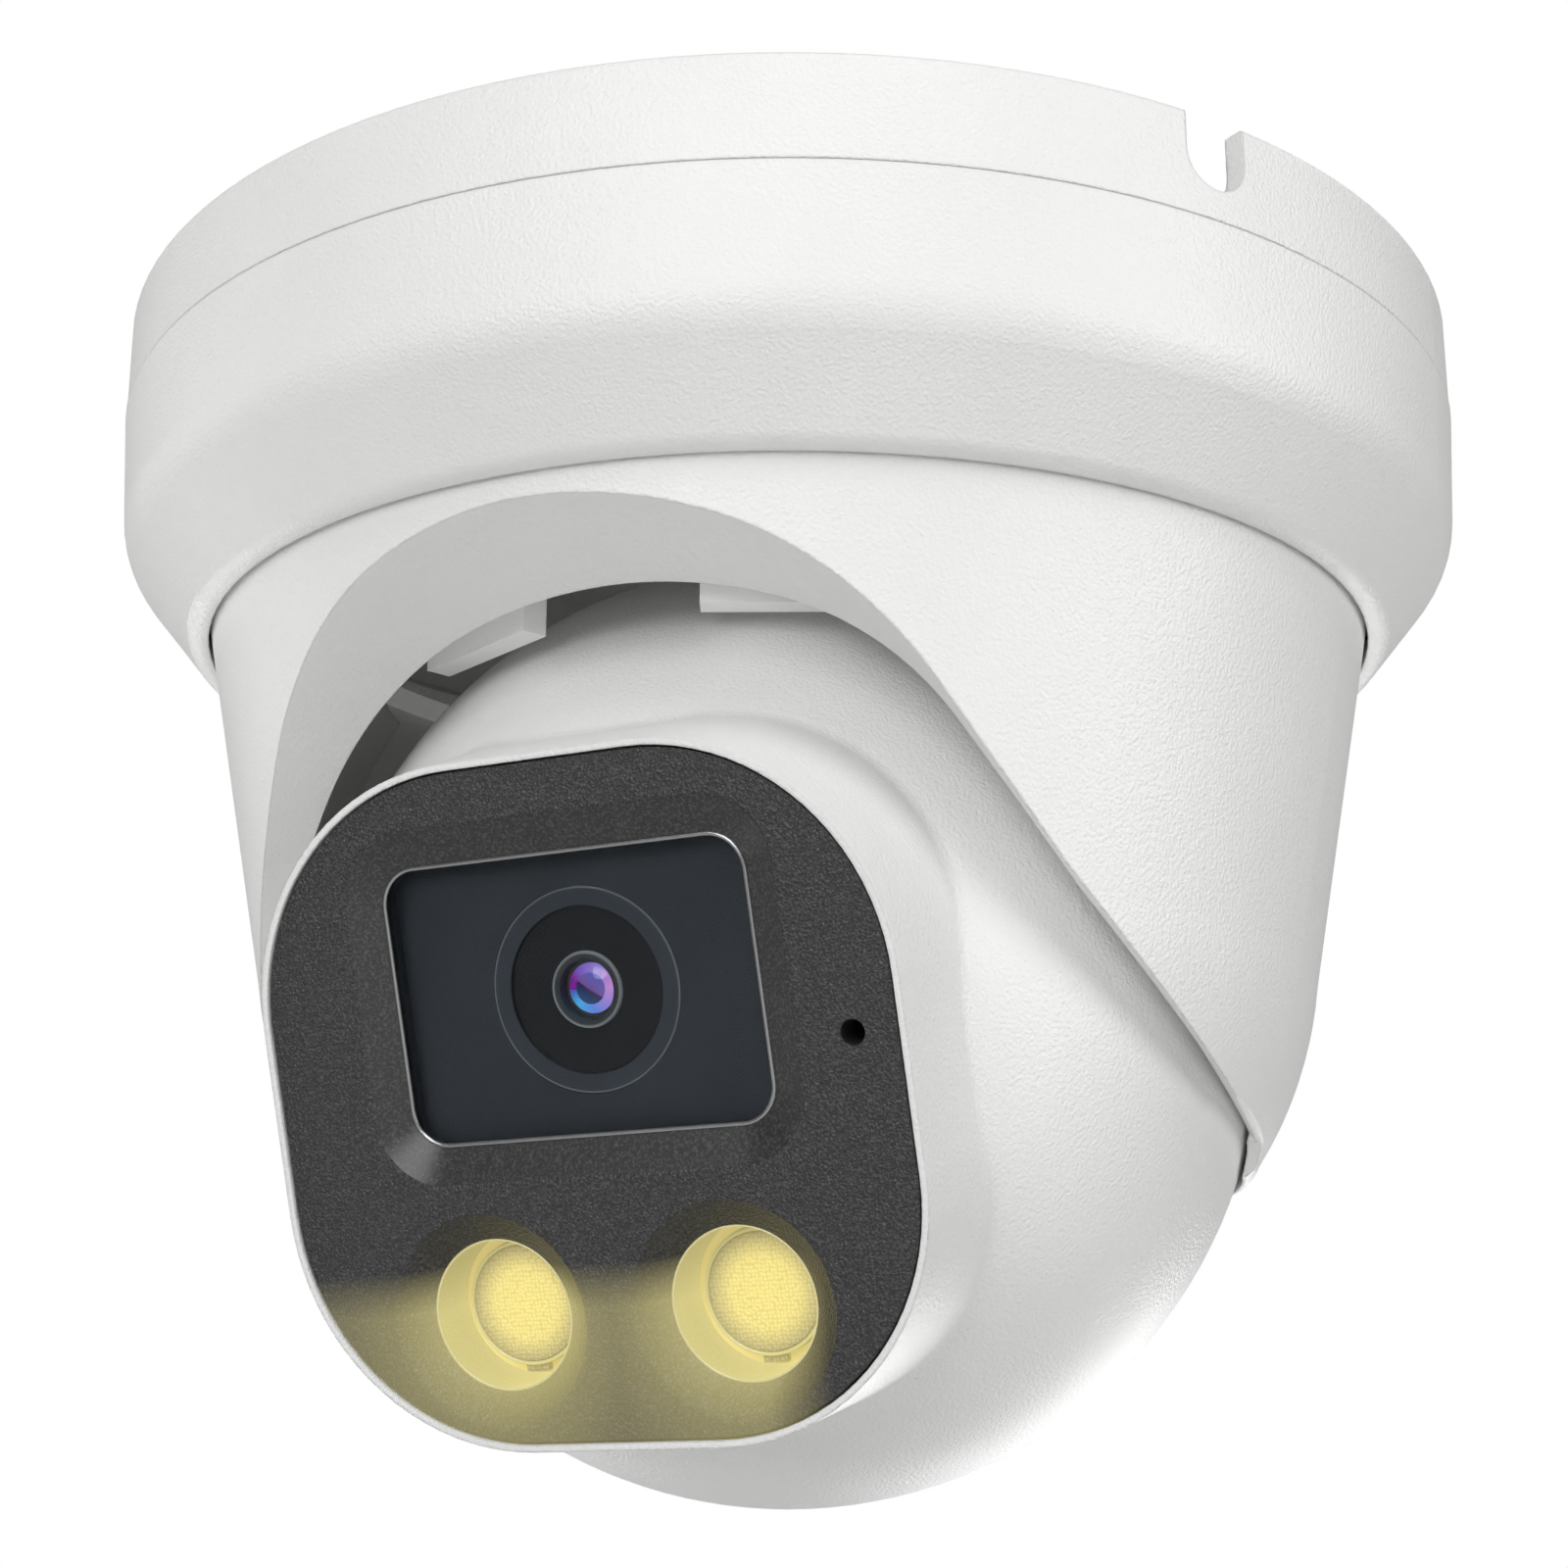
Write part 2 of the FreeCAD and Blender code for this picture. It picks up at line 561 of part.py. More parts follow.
def cut(name, first, second):
    made = doc.addObject("Part::Cut", name)
    made.Base, made.Tool = first, second
    return made


GROUPS = []


def group(label, members):
    made = doc.addObject("Part::Compound", label)
    made.Label = label
    made.Links = members
    GROUPS.append(label)
    return made


def screw(name, shank_radius, length):
    """Socket screw along +Z: the shank starts at the origin and the head lies below it."""
    head_height = shank_radius * 1.4
    socket_depth = shank_radius * 0.8
    shank = solid("Cylinder", name + "_shank", Radius=shank_radius, Height=length)
    head = place(solid("Cylinder", name + "_head", Radius=shank_radius * 1.76, Height=head_height),
                 ZERO, ZERO, -head_height)
    whole = joined(name + "_whole", shank, head)
    socket = solid("Prism", name + "_socket", Circumradius=shank_radius * 0.8, Height=socket_depth)
    socket.Polygon = 6
    place(socket, ZERO, ZERO, -head_height)
    return cut(name, whole, socket)


def corners_at(radius, count, first=45.0):
    """Points spread evenly round a circle."""
    return [(radius * cosine(sized(first + 360.0 * number / count)),
             radius * sine(sized(first + 360.0 * number / count))) for number in range(count)]


FORWARD = (V(1, 0, 0), 90.0)
BACKWARD = (V(1, 0, 0), -90.0)

# ---- pieces that turn with the housing ---------------------------------------------------------
pin_start = d.ball_radius + d.seat_gap
pins = []
for name, side in (("left", -1), ("right", 1)):
    bore = extrude(housing, "Pocket", "PinHole_" + name, "YZ_Plane", pin_start * side,
                   lambda sketch: circle(sketch, ZERO, -d.ball_centre, d.pin_radius),
                   Length=d.pin_reach - pin_start, Reversed=side > 0)
    pin = solid("Cylinder", "Pin_" + name, Radius=d.pin_radius, Height=d.pin_reach - pin_start)
    pins.append(place(pin, pin_start * side, ZERO, -d.ball_centre, V(0, 1, 0), 90.0 * side))
group("pivot_pins", pins)

bracket_top = d.ledge_depth - d.bracket_thick
bracket_outer = d.ledge_radius - d.bracket_play
bracket = new_body("socket_bracket")
turn_about(bracket, "Revolution", "BracketRing", [
    (d.bracket_inner, -bracket_top), (bracket_outer, -bracket_top),
    (bracket_outer, -d.ledge_depth), (d.bracket_inner, -d.ledge_depth)])
for name, side in (("left", -1), ("right", 1)):
    spoke = d.finger_angle * side - 90
    extrude(bracket, "Pad", "Lug_" + name, "XY_Plane", -bracket_top,
            lambda sketch: radial_block(sketch, spoke, d.finger_radius, d.bracket_inner + d.bracket_thick,
                                        d.finger_half), Length=d.bracket_thick, Reversed=True)
    extrude(bracket, "Pad", "Finger_" + name, "XY_Plane", -bracket_top,
            lambda sketch: radial_block(sketch, spoke, d.finger_radius, d.finger_radius + d.finger_thick,
                                        d.finger_half), Length=d.finger_end - bracket_top, Reversed=True)
for number, (x, y) in enumerate(corners_at(d.bracket_screw_circle, int(d.bracket_screws.value))):
    extrude(bracket, "Pocket", "ScrewHole_%d" % number, "XY_Plane", -bracket_top,
            lambda sketch: circle(sketch, x, y, d.bracket_screw_radius),
            Length=d.bracket_thick + 1, Reversed=False)
    extrude(housing, "Pocket", "ScrewPilot_%d" % number, "XY_Plane", -d.ledge_depth,
            lambda sketch: circle(sketch, x, y, d.bracket_screw_radius), Length=d.bracket_pilot, Reversed=False)
group("bracket_screws", [
    place(screw("BracketScrew_%d" % number, d.bracket_screw_radius, d.bracket_screw_length), x, y, -bracket_top,
          V(1, 0, 0), 180.0)
    for number, (x, y) in enumerate(corners_at(d.bracket_screw_circle, int(d.bracket_screws.value)))])

# ---- cradle that carries the ball --------------------------------------------------------------
cradle_inner = d.ball_radius + d.cradle_gap
cradle_outer = cradle_inner + d.cradle_thick
plate_front = d.ball_back + d.cradle_gap
plate_back = plate_front + d.cradle_plate
neck_hole = d.neck_radius + d.neck_fit

cradle = tilt_with_ball(new_body("ball_cradle"))
turn_about(cradle, "Revolution", "CradleBowl", [
    (on_ball(cradle_inner, d.pole_radius), -d.pole_radius, cradle_inner, 1),
    (on_ball(cradle_inner, plate_front), plate_front), (neck_hole, plate_front),
    (neck_hole, plate_back), (on_ball(cradle_outer, plate_back), plate_back, cradle_outer, -1),
    (on_ball(cradle_outer, d.pole_radius), -d.pole_radius)], role="XY_Plane")


def outside_yoke(sketch):
    """Everything beside the two arms and the round plate they join."""
    reach = cradle_outer + 2
    join = on_ball(d.cradle_disc, d.cradle_arm)
    circle(sketch, ZERO, ZERO, reach * 1.2)
    outline(sketch, [
        (-reach, -d.cradle_arm), (-join, -d.cradle_arm, d.cradle_disc, 1), (join, -d.cradle_arm),
        (reach, -d.cradle_arm), (reach, d.cradle_arm), (join, d.cradle_arm, d.cradle_disc, 1),
        (-join, d.cradle_arm), (-reach, d.cradle_arm)])


extrude(cradle, "Pocket", "YokeShape", "XZ_Plane", ZERO, outside_yoke, Type=1, Midplane=True)
extrude(cradle, "Pocket", "PinBores", "YZ_Plane", ZERO,
        lambda sketch: circle(sketch, ZERO, ZERO, d.pin_radius + d.pin_fit), Type=1, Midplane=True)

# ---- ball shells ------------------------------------------------------------------------------
rim_plane = d.face_plane + d.face_rim
rim_half_width = d.face_half_width + d.rim_width
rim_half_height = d.face_half_height + d.rim_width
ball_inner = d.ball_radius - d.ball_wall
bed_plane = d.face_plane - d.panel_thick - d.panel_bed
cavity_plane = bed_plane - d.bed_thick


def face_outline(sketch, grow):
    """The rounded square of the face, larger or smaller all round by grow."""
    grow = sized(grow)
    rounded(sketch, ZERO, d.face_lift, d.face_half_width + grow, d.face_half_height + grow,
            d.face_corner + grow)


front = tilt_with_ball(new_body("ball_front_shell"))
turn_about(front, "Revolution", "BallZone", [
    (ZERO, d.ball_seam), (on_ball(d.ball_radius, d.ball_seam), d.ball_seam, d.ball_radius, -1),
    (on_ball(d.ball_radius, bed_plane), -bed_plane), (ZERO, -bed_plane)], role="XY_Plane")
boss = extrude(front, "Pad", "Boss", "XZ_Plane", rim_plane,
               lambda sketch: face_outline(sketch, d.rim_width), Length=d.boss_depth, Reversed=True,
               TaperAngle=d.boss_draft)


def on_blend(edge):
    here = middle(edge)
    return abs(here.Length - d.ball_radius.value) < 0.05 and here.y < -d.boss_depth.value * 0.5


round_edges(front, "BossBlend", d.boss_blend, on_blend)
turn_about(front, "Groove", "BallHollow", [
    (ZERO, d.ball_seam + 1), (on_ball(ball_inner, d.ball_seam), d.ball_seam + 1),
    (on_ball(ball_inner, d.ball_seam), d.ball_seam, ball_inner, -1), (ZERO, -ball_inner)],
    role="XY_Plane")
extrude(front, "Pocket", "PanelBed", "XZ_Plane", rim_plane,
        lambda sketch: face_outline(sketch, d.panel_gap), Length=rim_plane - bed_plane)
extrude(front, "Pocket", "PanelWindow", "XZ_Plane", bed_plane,
        lambda sketch: face_outline(sketch, -d.bed_width), Length=d.bed_thick + 1)
extrude(front, "Pocket", "BossHollow", "XZ_Plane", cavity_plane,
        lambda sketch: face_outline(sketch, -d.cavity_inset), Length=d.cavity_depth)

post_inner = d.shell_screw_circle - d.shell_post
post_outer = on_ball(d.ball_radius, d.ball_seam) - 0.4
spokes = [45.0, 135.0, 225.0, 315.0]
sink_front = d.ball_seam - 4.0
for number, angle in enumerate(spokes):
    extrude(front, "Pad", "Post_%d" % number, "XZ_Plane", -d.ball_seam,
            lambda sketch: radial_block(sketch, angle, post_inner, post_outer, d.shell_post),
            Length=sized(10.0), Reversed=False)
for number, (x, y) in enumerate(corners_at(d.shell_screw_circle, 4)):
    extrude(front, "Pocket", "PostHole_%d" % number, "XZ_Plane", -d.ball_seam,
            lambda sketch: circle(sketch, x, y, d.shell_screw_radius), Length=sized(8.0), Reversed=True)
for name, side in (("left", -1), ("right", 1)):
    extrude(front, "Pad", "SinkLedge_" + name, "XZ_Plane", -sink_front,
            lambda sketch: rectangle(sketch, sized(35.5) * side, ZERO, sized(3.5), sized(4.0)),
            Length=sized(6.0), Reversed=False)
    extrude(front, "Pocket", "SinkScrewHole_" + name, "XZ_Plane", -sink_front,
            lambda sketch: circle(sketch, sized(35.0) * side, ZERO, sized(1.0)),
            Length=sized(4.5), Reversed=True)

seal_outer = on_ball(d.ball_radius, d.ball_seam) - 0.6
seal_inner = seal_outer - d.seal_width
seal_corners = [
    (seal_inner, d.ball_seam), (seal_outer, d.ball_seam), (seal_outer, d.ball_seam + d.seal_depth),
    (seal_inner, d.ball_seam + d.seal_depth)]
neck_back = d.ball_back + d.neck_length
back_inside = d.ball_back - d.ball_wall
rear = tilt_with_ball(new_body("ball_rear_shell"))
turn_about(rear, "Revolution", "RearZone", [
    (on_ball(d.ball_radius, d.ball_seam), d.ball_seam, d.ball_radius, 1),
    (on_ball(d.ball_radius, d.ball_back), d.ball_back), (d.neck_radius, d.ball_back),
    (d.neck_radius, neck_back), (d.gland_radius, neck_back), (d.gland_radius, neck_back - d.neck_end),
    (d.neck_bore, neck_back - d.neck_end), (d.neck_bore, back_inside),
    (on_ball(ball_inner, back_inside), back_inside, ball_inner, -1),
    (on_ball(ball_inner, d.ball_seam), d.ball_seam)], role="XY_Plane")
for number, angle in enumerate(spokes):
    extrude(rear, "Pad", "Post_%d" % number, "XZ_Plane", -d.ball_seam,
            lambda sketch: radial_block(sketch, angle, post_inner, post_outer, d.shell_post),
            Length=back_inside - d.ball_seam + 0.5, Reversed=True)
turn_about(rear, "Groove", "OutsideTrim", [
    (on_ball(d.ball_radius, d.ball_seam), d.ball_seam, d.ball_radius, 1),
    (on_ball(d.ball_radius, d.ball_back), d.ball_back), (d.ball_radius * 1.3, d.ball_back),
    (d.ball_radius * 1.3, d.ball_seam)], role="XY_Plane")
turn_about(rear, "Groove", "SealGroove", seal_corners, role="XY_Plane")
screw_seat = d.ball_seam + 4.0
for number, (x, y) in enumerate(corners_at(d.shell_screw_circle, 4)):
    extrude(rear, "Pocket", "HeadRecess_%d" % number, "XZ_Plane", -d.ball_back,
            lambda sketch: circle(sketch, x, y, d.shell_screw_radius * 2), Length=d.ball_back - screw_seat,
            Reversed=True)
    extrude(rear, "Pocket", "ShankHole_%d" % number, "XZ_Plane", -screw_seat,
            lambda sketch: circle(sketch, x, y, d.shell_screw_radius), Length=sized(8.0), Reversed=True)

seal = tilt_with_ball(new_body("ball_seal"))
turn_about(seal, "Revolution", "SealRing", seal_corners, role="XY_Plane")

tilt_with_ball(group("shell_screws", [
    place(screw("ShellScrew_%d" % number, d.shell_screw_radius, sized(10.0)), x, screw_seat, y, *FORWARD)
    for number, (x, y) in enumerate(corners_at(d.shell_screw_circle, 4))]))

washer_front = plate_back + 0.1
nut_front = washer_front + 0.4
neck_washer = tilt_with_ball(new_body("neck_washer"))
turn_about(neck_washer, "Revolution", "WasherRing", [
    (d.neck_radius, washer_front), (d.neck_radius + 5, washer_front),
    (d.neck_radius + 5, nut_front), (d.neck_radius, nut_front)], role="XY_Plane")
neck_nut = tilt_with_ball(new_body("neck_nut"))
extrude(neck_nut, "Pad", "NutBody", "XZ_Plane", -nut_front,
        lambda sketch: (hexagon(sketch, ZERO, ZERO, d.neck_radius + 5),
                        circle(sketch, ZERO, ZERO, d.neck_radius)),
        Length=neck_back - nut_front - 0.5, Reversed=True)

gland_flange = neck_back - d.neck_end
gland = tilt_with_ball(new_body("cable_gland"))
turn_about(gland, "Revolution", "GlandBody", [
    (d.gland_bore, gland_flange - 1.6), (d.gland_radius + 2.5, gland_flange - 1.6),
    (d.gland_radius + 2.5, gland_flange), (d.gland_radius, gland_flange),
    (d.gland_radius, neck_back + 4), (d.gland_bore + 1.2, neck_back + 6), (d.gland_bore, neck_back + 6)],
    role="XY_Plane")
gland_nut = tilt_with_ball(new_body("gland_nut"))
extrude(gland_nut, "Pad", "GlandNutBody", "XZ_Plane", -neck_back,
        lambda sketch: (hexagon(sketch, ZERO, ZERO, d.gland_radius + 2.5),
                        circle(sketch, ZERO, ZERO, d.gland_radius)),
        Length=sized(3.6), Reversed=True)

# ---- black face and window --------------------------------------------------------------------
panel_back = d.face_plane - d.panel_thick
tube_end = d.face_plane - d.led_tube_depth
window_half_width = d.window_width / 2
window_half_height = d.window_height / 2
opening_half_width = window_half_width - d.bevel_inset
opening_half_height = window_half_height - d.bevel_inset - 0.2
bevel_floor = d.face_plane - d.bevel_depth
glass_front = bevel_floor - d.glass_lip
glass_back = glass_front - d.glass_thick
glass_half_width = opening_half_width + d.glass_lap
glass_half_height = opening_half_height + d.glass_lap
inner_corner = d.window_corner / 2
LED_SIDES = (("left", -1), ("right", 1))


def window_shape(grow_x, grow_y, corner):
    return lambda sketch: rounded(sketch, ZERO, d.window_rise, grow_x, grow_y, corner)


def led_circles(radius):
    def draw(sketch):
        for name, side in LED_SIDES:
            circle(sketch, d.led_offset * side, -d.led_drop, radius)
    return draw


panel = tilt_with_ball(new_body("face_panel"))
extrude(panel, "Pad", "PanelPlate", "XZ_Plane", panel_back,
        lambda sketch: face_outline(sketch, 0), Length=d.panel_thick, Reversed=False)
extrude(panel, "Pad", "LedTubes", "XZ_Plane", tube_end, led_circles(d.led_tube + d.led_tube_wall),
        Length=d.led_tube_depth - d.panel_thick + 0.5, Reversed=False)
for name, side in LED_SIDES:
    cone = panel.newObject("PartDesign::SubtractiveCone", "LedCone_" + name)
    cone.Placement = FreeCAD.Placement(V(0, 0, 0), FreeCAD.Rotation(*BACKWARD))
    bind(cone, "Placement.Base.x", d.led_offset * side)
    bind(cone, "Placement.Base.y", -d.face_plane)
    bind(cone, "Placement.Base.z", -d.led_drop)
    bind(cone, "Radius1", d.led_cone)
    bind(cone, "Radius2", d.led_tube)
    bind(cone, "Height", d.led_cone_depth)
    panel.Tip = cone
extrude(panel, "Pocket", "LedBores", "XZ_Plane", d.face_plane, led_circles(d.led_tube),
        Length=d.led_tube_depth + 1)
bevel_top = new_sketch(panel, "BevelTop", "XZ_Plane", d.face_plane)
window_shape(window_half_width, window_half_height, d.window_corner)(bevel_top)
bevel_low = new_sketch(panel, "BevelLow", "XZ_Plane", bevel_floor)
window_shape(opening_half_width, opening_half_height, inner_corner)(bevel_low)
bevel = feature(panel, "SubtractiveLoft", "WindowBevel", bevel_top, Sections=[bevel_low], Ruled=True)
extrude(panel, "Pocket", "WindowOpening", "XZ_Plane", bevel_floor + 0.2,
        window_shape(opening_half_width, opening_half_height, inner_corner), Length=d.panel_thick)
extrude(panel, "Pocket", "GlassRebate", "XZ_Plane", panel_back - 0.5,
        window_shape(glass_half_width + 0.1, glass_half_height + 0.1, inner_corner),
        Length=glass_front - panel_back + 0.5, Reversed=True)
extrude(panel, "Pocket", "MicHole", "XZ_Plane", d.face_plane,
        lambda sketch: circle(sketch, d.mic_offset, d.mic_rise, d.mic_hole), Length=d.panel_thick + 1)

panel_gasket = tilt_with_ball(new_body("panel_gasket"))
extrude(panel_gasket, "Pad", "GasketRing", "XZ_Plane", bed_plane,
        lambda sketch: (face_outline(sketch, -0.1), face_outline(sketch, -d.bed_width)),
        Length=d.panel_bed, Reversed=False)

glass = tilt_with_ball(new_body("window_glass"))
extrude(glass, "Pad", "Pane", "XZ_Plane", glass_back,
        window_shape(glass_half_width, glass_half_height, inner_corner),
        Length=d.glass_thick, Reversed=False)

bezel_face = d.face_plane - d.bezel_depth
bezel = tilt_with_ball(new_body("lens_bezel"))
extrude(bezel, "Pad", "BezelTray", "XZ_Plane", bezel_face - d.bezel_thick,
        window_shape(glass_half_width, glass_half_height, inner_corner),
        Length=glass_back - bezel_face + d.bezel_thick, Reversed=False)
extrude(bezel, "Pocket", "BezelHollow", "XZ_Plane", glass_back,
        window_shape(glass_half_width - d.bezel_wall, glass_half_height - d.bezel_wall, inner_corner * 0.8),
        Length=glass_back - bezel_face)
extrude(bezel, "Pocket", "LensHole", "XZ_Plane", bezel_face,
        lambda sketch: circle(sketch, ZERO, d.window_rise, d.lens_ring + 0.05),
        Length=d.bezel_thick + 1)

# ---- lens, sensor and boards ------------------------------------------------------------------
disc_face = bezel_face - 0.3
mouth_face = disc_face + 0.2
shoulder = bezel_face - 4
throat = sized(33.5)
wide_bore = d.barrel_radius - 1.4
barrel = tilt_with_ball(new_body("lens_barrel"))
turn_about(barrel, "Revolution", "BarrelBody", [
    (d.lens_radius, -mouth_face), (d.lens_mouth, -mouth_face), (d.lens_mouth, -disc_face),
    (d.lens_disc, -disc_face), (d.lens_disc, -bezel_face), (d.lens_ring, -bezel_face),
    (d.lens_ring, -shoulder), (d.barrel_radius, -shoulder), (d.barrel_radius, -d.barrel_end),
    (wide_bore, -d.barrel_end), (wide_bore, -throat + 2.5), (d.lens_radius, -throat)],
    role="XY_Plane", lift=d.window_rise)
front_curve = sized(4.2)
front_tip = mouth_face - 0.5
tip_flat = sized(0.15)
front_lens = tilt_with_ball(new_body("front_lens"))
turn_about(front_lens, "Revolution", "FrontGlass", [
    (ZERO, -throat - 0.5), (d.lens_radius, -throat - 0.5),
    (d.lens_radius, -front_tip + front_curve - on_ball(front_curve, d.lens_radius), front_curve, -1),
    (tip_flat, -front_tip + front_curve - on_ball(front_curve, tip_flat)),
    (ZERO, -front_tip + front_curve - on_ball(front_curve, tip_flat))],
    role="XY_Plane", lift=d.window_rise)
rear_curve = sized(20.0)
rear_middle = sized(23.0)
rear_half = sized(1.9)
edge_half = rear_half - rear_curve + on_ball(rear_curve, wide_bore)
tip_half = rear_half - rear_curve + on_ball(rear_curve, tip_flat)
rear_lens = tilt_with_ball(new_body("rear_lens"))
turn_about(rear_lens, "Revolution", "RearGlass", [
    (ZERO, -rear_middle + tip_half), (ZERO, -rear_middle - tip_half),
    (tip_flat, -rear_middle - tip_half, rear_curve, 1), (wide_bore, -rear_middle - edge_half),
    (wide_bore, -rear_middle + edge_half, rear_curve, 1), (tip_flat, -rear_middle + tip_half)],
    role="XY_Plane", lift=d.window_rise)

sensor_plane = sized(14.0)
board_thick = sized(1.2)
holder_half = sized(9.5)
holder = tilt_with_ball(new_body("lens_holder"))
extrude(holder, "Pad", "HolderBlock", "XZ_Plane", sensor_plane,
        lambda sketch: rounded(sketch, ZERO, d.window_rise, holder_half, holder_half, sized(2.0)),
        Length=sized(10.0), Reversed=False)
extrude(holder, "Pocket", "BarrelBore", "XZ_Plane", sensor_plane + 10,
        lambda sketch: circle(sketch, ZERO, d.window_rise, d.barrel_radius), Length=sized(11.0))
extrude(holder, "Pocket", "SensorRoom", "XZ_Plane", sensor_plane,
        lambda sketch: rectangle(sketch, ZERO, d.window_rise, sized(6.5), sized(5.5)),
        Length=sized(3.0), Reversed=True)


def block(name, x, z, near, half_width, half_height, thick):
    """Flat box facing forward: its back lies at near, measured from the ball centre."""
    made = solid("Box", name, Length=sized(half_width) * 2, Width=thick, Height=sized(half_height) * 2)
    return place(made, sized(x) - half_width, -sized(near) - thick, sized(z) - half_height)


def board(label, x, z, near, half_width, half_height, thick, holes, hole_radius):
    item = tilt_with_ball(new_body(label))
    extrude(item, "Pad", "Laminate", "XZ_Plane", near,
            lambda sketch: rounded(sketch, sized(x), sized(z), sized(half_width), sized(half_height), sized(1.5)),
            Length=sized(thick), Reversed=False)
    for number, (hole_x, hole_z) in enumerate(holes):
        extrude(item, "Pocket", "Hole_%d" % number, "XZ_Plane", sized(near) + thick,
                lambda sketch: circle(sketch, hole_x, hole_z, hole_radius), Length=sized(thick) + 1)
    return item


standoff_spots = [(x, d.window_rise + z) for x in (sized(-13.0), sized(13.0)) for z in (-10.5, 10.5)]
sink_spots = [(sized(x), sized(z)) for x in (-23.0, 23.0) for z in (-13.0, 13.0)]
main_near = sized(4.4)
main_thick = sized(1.6)
small_hole = sized(1.0)
board("sensor_board", 0, d.window_rise, sensor_plane - board_thick, 15.5, 13.0, board_thick,
      standoff_spots, small_hole)
board("main_board", 0, 0, main_near, 26.0, 20.5, main_thick, sink_spots, small_hole)
tilt_with_ball(group("image_sensor", [
    block("SensorChip", 0, d.window_rise, sensor_plane, 4.5, 3.5, sized(1.0))]))
standoff_height = sensor_plane - board_thick - main_near - main_thick
tilt_with_ball(group("board_standoffs", [
    place(solid("Cylinder", "Standoff_%d" % number, Radius=sized(1.9), Height=standoff_height),
          x, -main_near - main_thick, z, *FORWARD)
    for number, (x, z) in enumerate(standoff_spots)]))
tilt_with_ball(group("board_chips", [
    block("Processor", -4.0, 2.0, main_near - 1.2, 6.5, 6.5, sized(1.2)),
    block("Memory", 11.0, 6.0, main_near - 1.2, 4.5, 3.5, sized(1.2)),
    block("CableSocket", 0.0, -15.5, main_near + main_thick, 6.0, 2.5, sized(3.4)),
    block("LedSocket", -18.0, 0.0, main_near + main_thick, 2.5, 3.5, sized(3.0)),
    block("MicSocket", 19.5, 3.0, main_near + main_thick, 2.0, 2.5, sized(2.4))]))

sink_thick = sized(2.0)
sink = tilt_with_ball(new_body("heat_sink"))
extrude(sink, "Pad", "SinkDisc", "XZ_Plane", -sink_front - sink_thick,
        lambda sketch: circle(sketch, ZERO, ZERO, sized(28.2)), Length=sink_thick, Reversed=False)
extrude(sink, "Pad", "SinkEars", "XZ_Plane", -sink_front - sink_thick,
        lambda sketch: rectangle(sketch, ZERO, ZERO, sized(36.6), sized(4.0)),
        Length=sink_thick, Reversed=False)
for number, (x, z) in enumerate(sink_spots):
    extrude(sink, "Pad", "SinkPost_%d" % number, "XZ_Plane", -sink_front,
            lambda sketch: circle(sketch, x, z, sized(2.6)), Length=main_near + sink_front, Reversed=False)
    extrude(sink, "Pocket", "PostBore_%d" % number, "XZ_Plane", main_near,
            lambda sketch: circle(sketch, x, z, small_hole), Length=sized(6.0))
extrude(sink, "Pad", "ChipPad", "XZ_Plane", -sink_front,
        lambda sketch: rounded(sketch, -sized(4.0), sized(2.0), sized(8.0), sized(8.0), sized(1.0)),
        Length=main_near - board_thick + sink_front, Reversed=False)
for number in range(-3, 4):
    extrude(sink, "Pad", "Fin_%d" % (number + 3), "XZ_Plane", -sink_front - sink_thick - 4.5,
            lambda sketch: rectangle(sketch, ZERO, sized(5.0) * number, sized(18.0), sized(0.6)),
            Length=sized(4.5), Reversed=False)
for name, side in LED_SIDES:
    extrude(sink, "Pocket", "EarHole_" + name, "XZ_Plane", -sink_front,
            lambda sketch: circle(sketch, sized(35.0) * side, ZERO, small_hole), Length=sink_thick + 1)
tilt_with_ball(group("sink_screws", [
    place(screw("SinkScrew_" + name, small_hole, sized(6.0)), sized(35.0) * side, sink_front + sink_thick,
          ZERO, *FORWARD) for name, side in LED_SIDES]))
tilt_with_ball(group("board_screws", [
    place(screw("BoardScrew_%d" % number, small_hole, sized(5.6)), x, -main_near - main_thick, z, *BACKWARD)
    for number, (x, z) in enumerate(sink_spots)]))

# ---- lights and microphone --------------------------------------------------------------------
led_board_thick = sized(1.0)
board("led_board", 0, -d.led_drop, tube_end - led_board_thick, 16.5, 6.0, led_board_thick, [], small_hole)
chip_thick = sized(0.8)
lens_face = d.face_plane - d.led_lens_depth
lens_base = lens_face - d.led_lens_height
emitters = []
optics = []
holders = []
for name, side in LED_SIDES:
    x = d.led_offset * side
    z = -d.led_drop
    chip = block("LedChip_" + name, x, z, tube_end, 1.75, 1.75, chip_thick)
    emitters.append(chip)
    cone = place(solid("Cone", "LensCone_" + name, Radius1=d.led_lens_base, Radius2=d.led_lens_radius,
                       Height=d.led_lens_height), x, -lens_base, z, *FORWARD)
    flange = place(solid("Cylinder", "LensFlange_" + name, Radius=d.led_lens_radius + 0.45,
                         Height=sized(0.5)), x, -lens_face + 1.1, z, *FORWARD)
    tab = block("LensTab_" + name, x, z - d.led_lens_radius - 0.4, lens_face - 1.1, d.led_tab / 2, 0.6,
                sized(0.7))
    optics.append(joined("LensWithTab_" + name, joined("Lens_" + name, cone, flange), tab))
    sleeve = place(solid("Cylinder", "Sleeve_" + name, Radius=d.led_tube - 0.05,
                         Height=lens_face - 1.1 - tube_end), x, -tube_end, z, *FORWARD)
    bore = place(solid("Cone", "SleeveBore_" + name, Radius1=d.led_lens_base + 0.6,
                       Radius2=d.led_lens_radius + 0.2, Height=lens_face - 1.1 - tube_end),
                 x, -tube_end, z, *FORWARD)
    holders.append(cut("Holder_" + name, sleeve, bore))
tilt_with_ball(group("led_emitters", emitters))
tilt_with_ball(group("led_optics", optics))
tilt_with_ball(group("led_holders", holders))

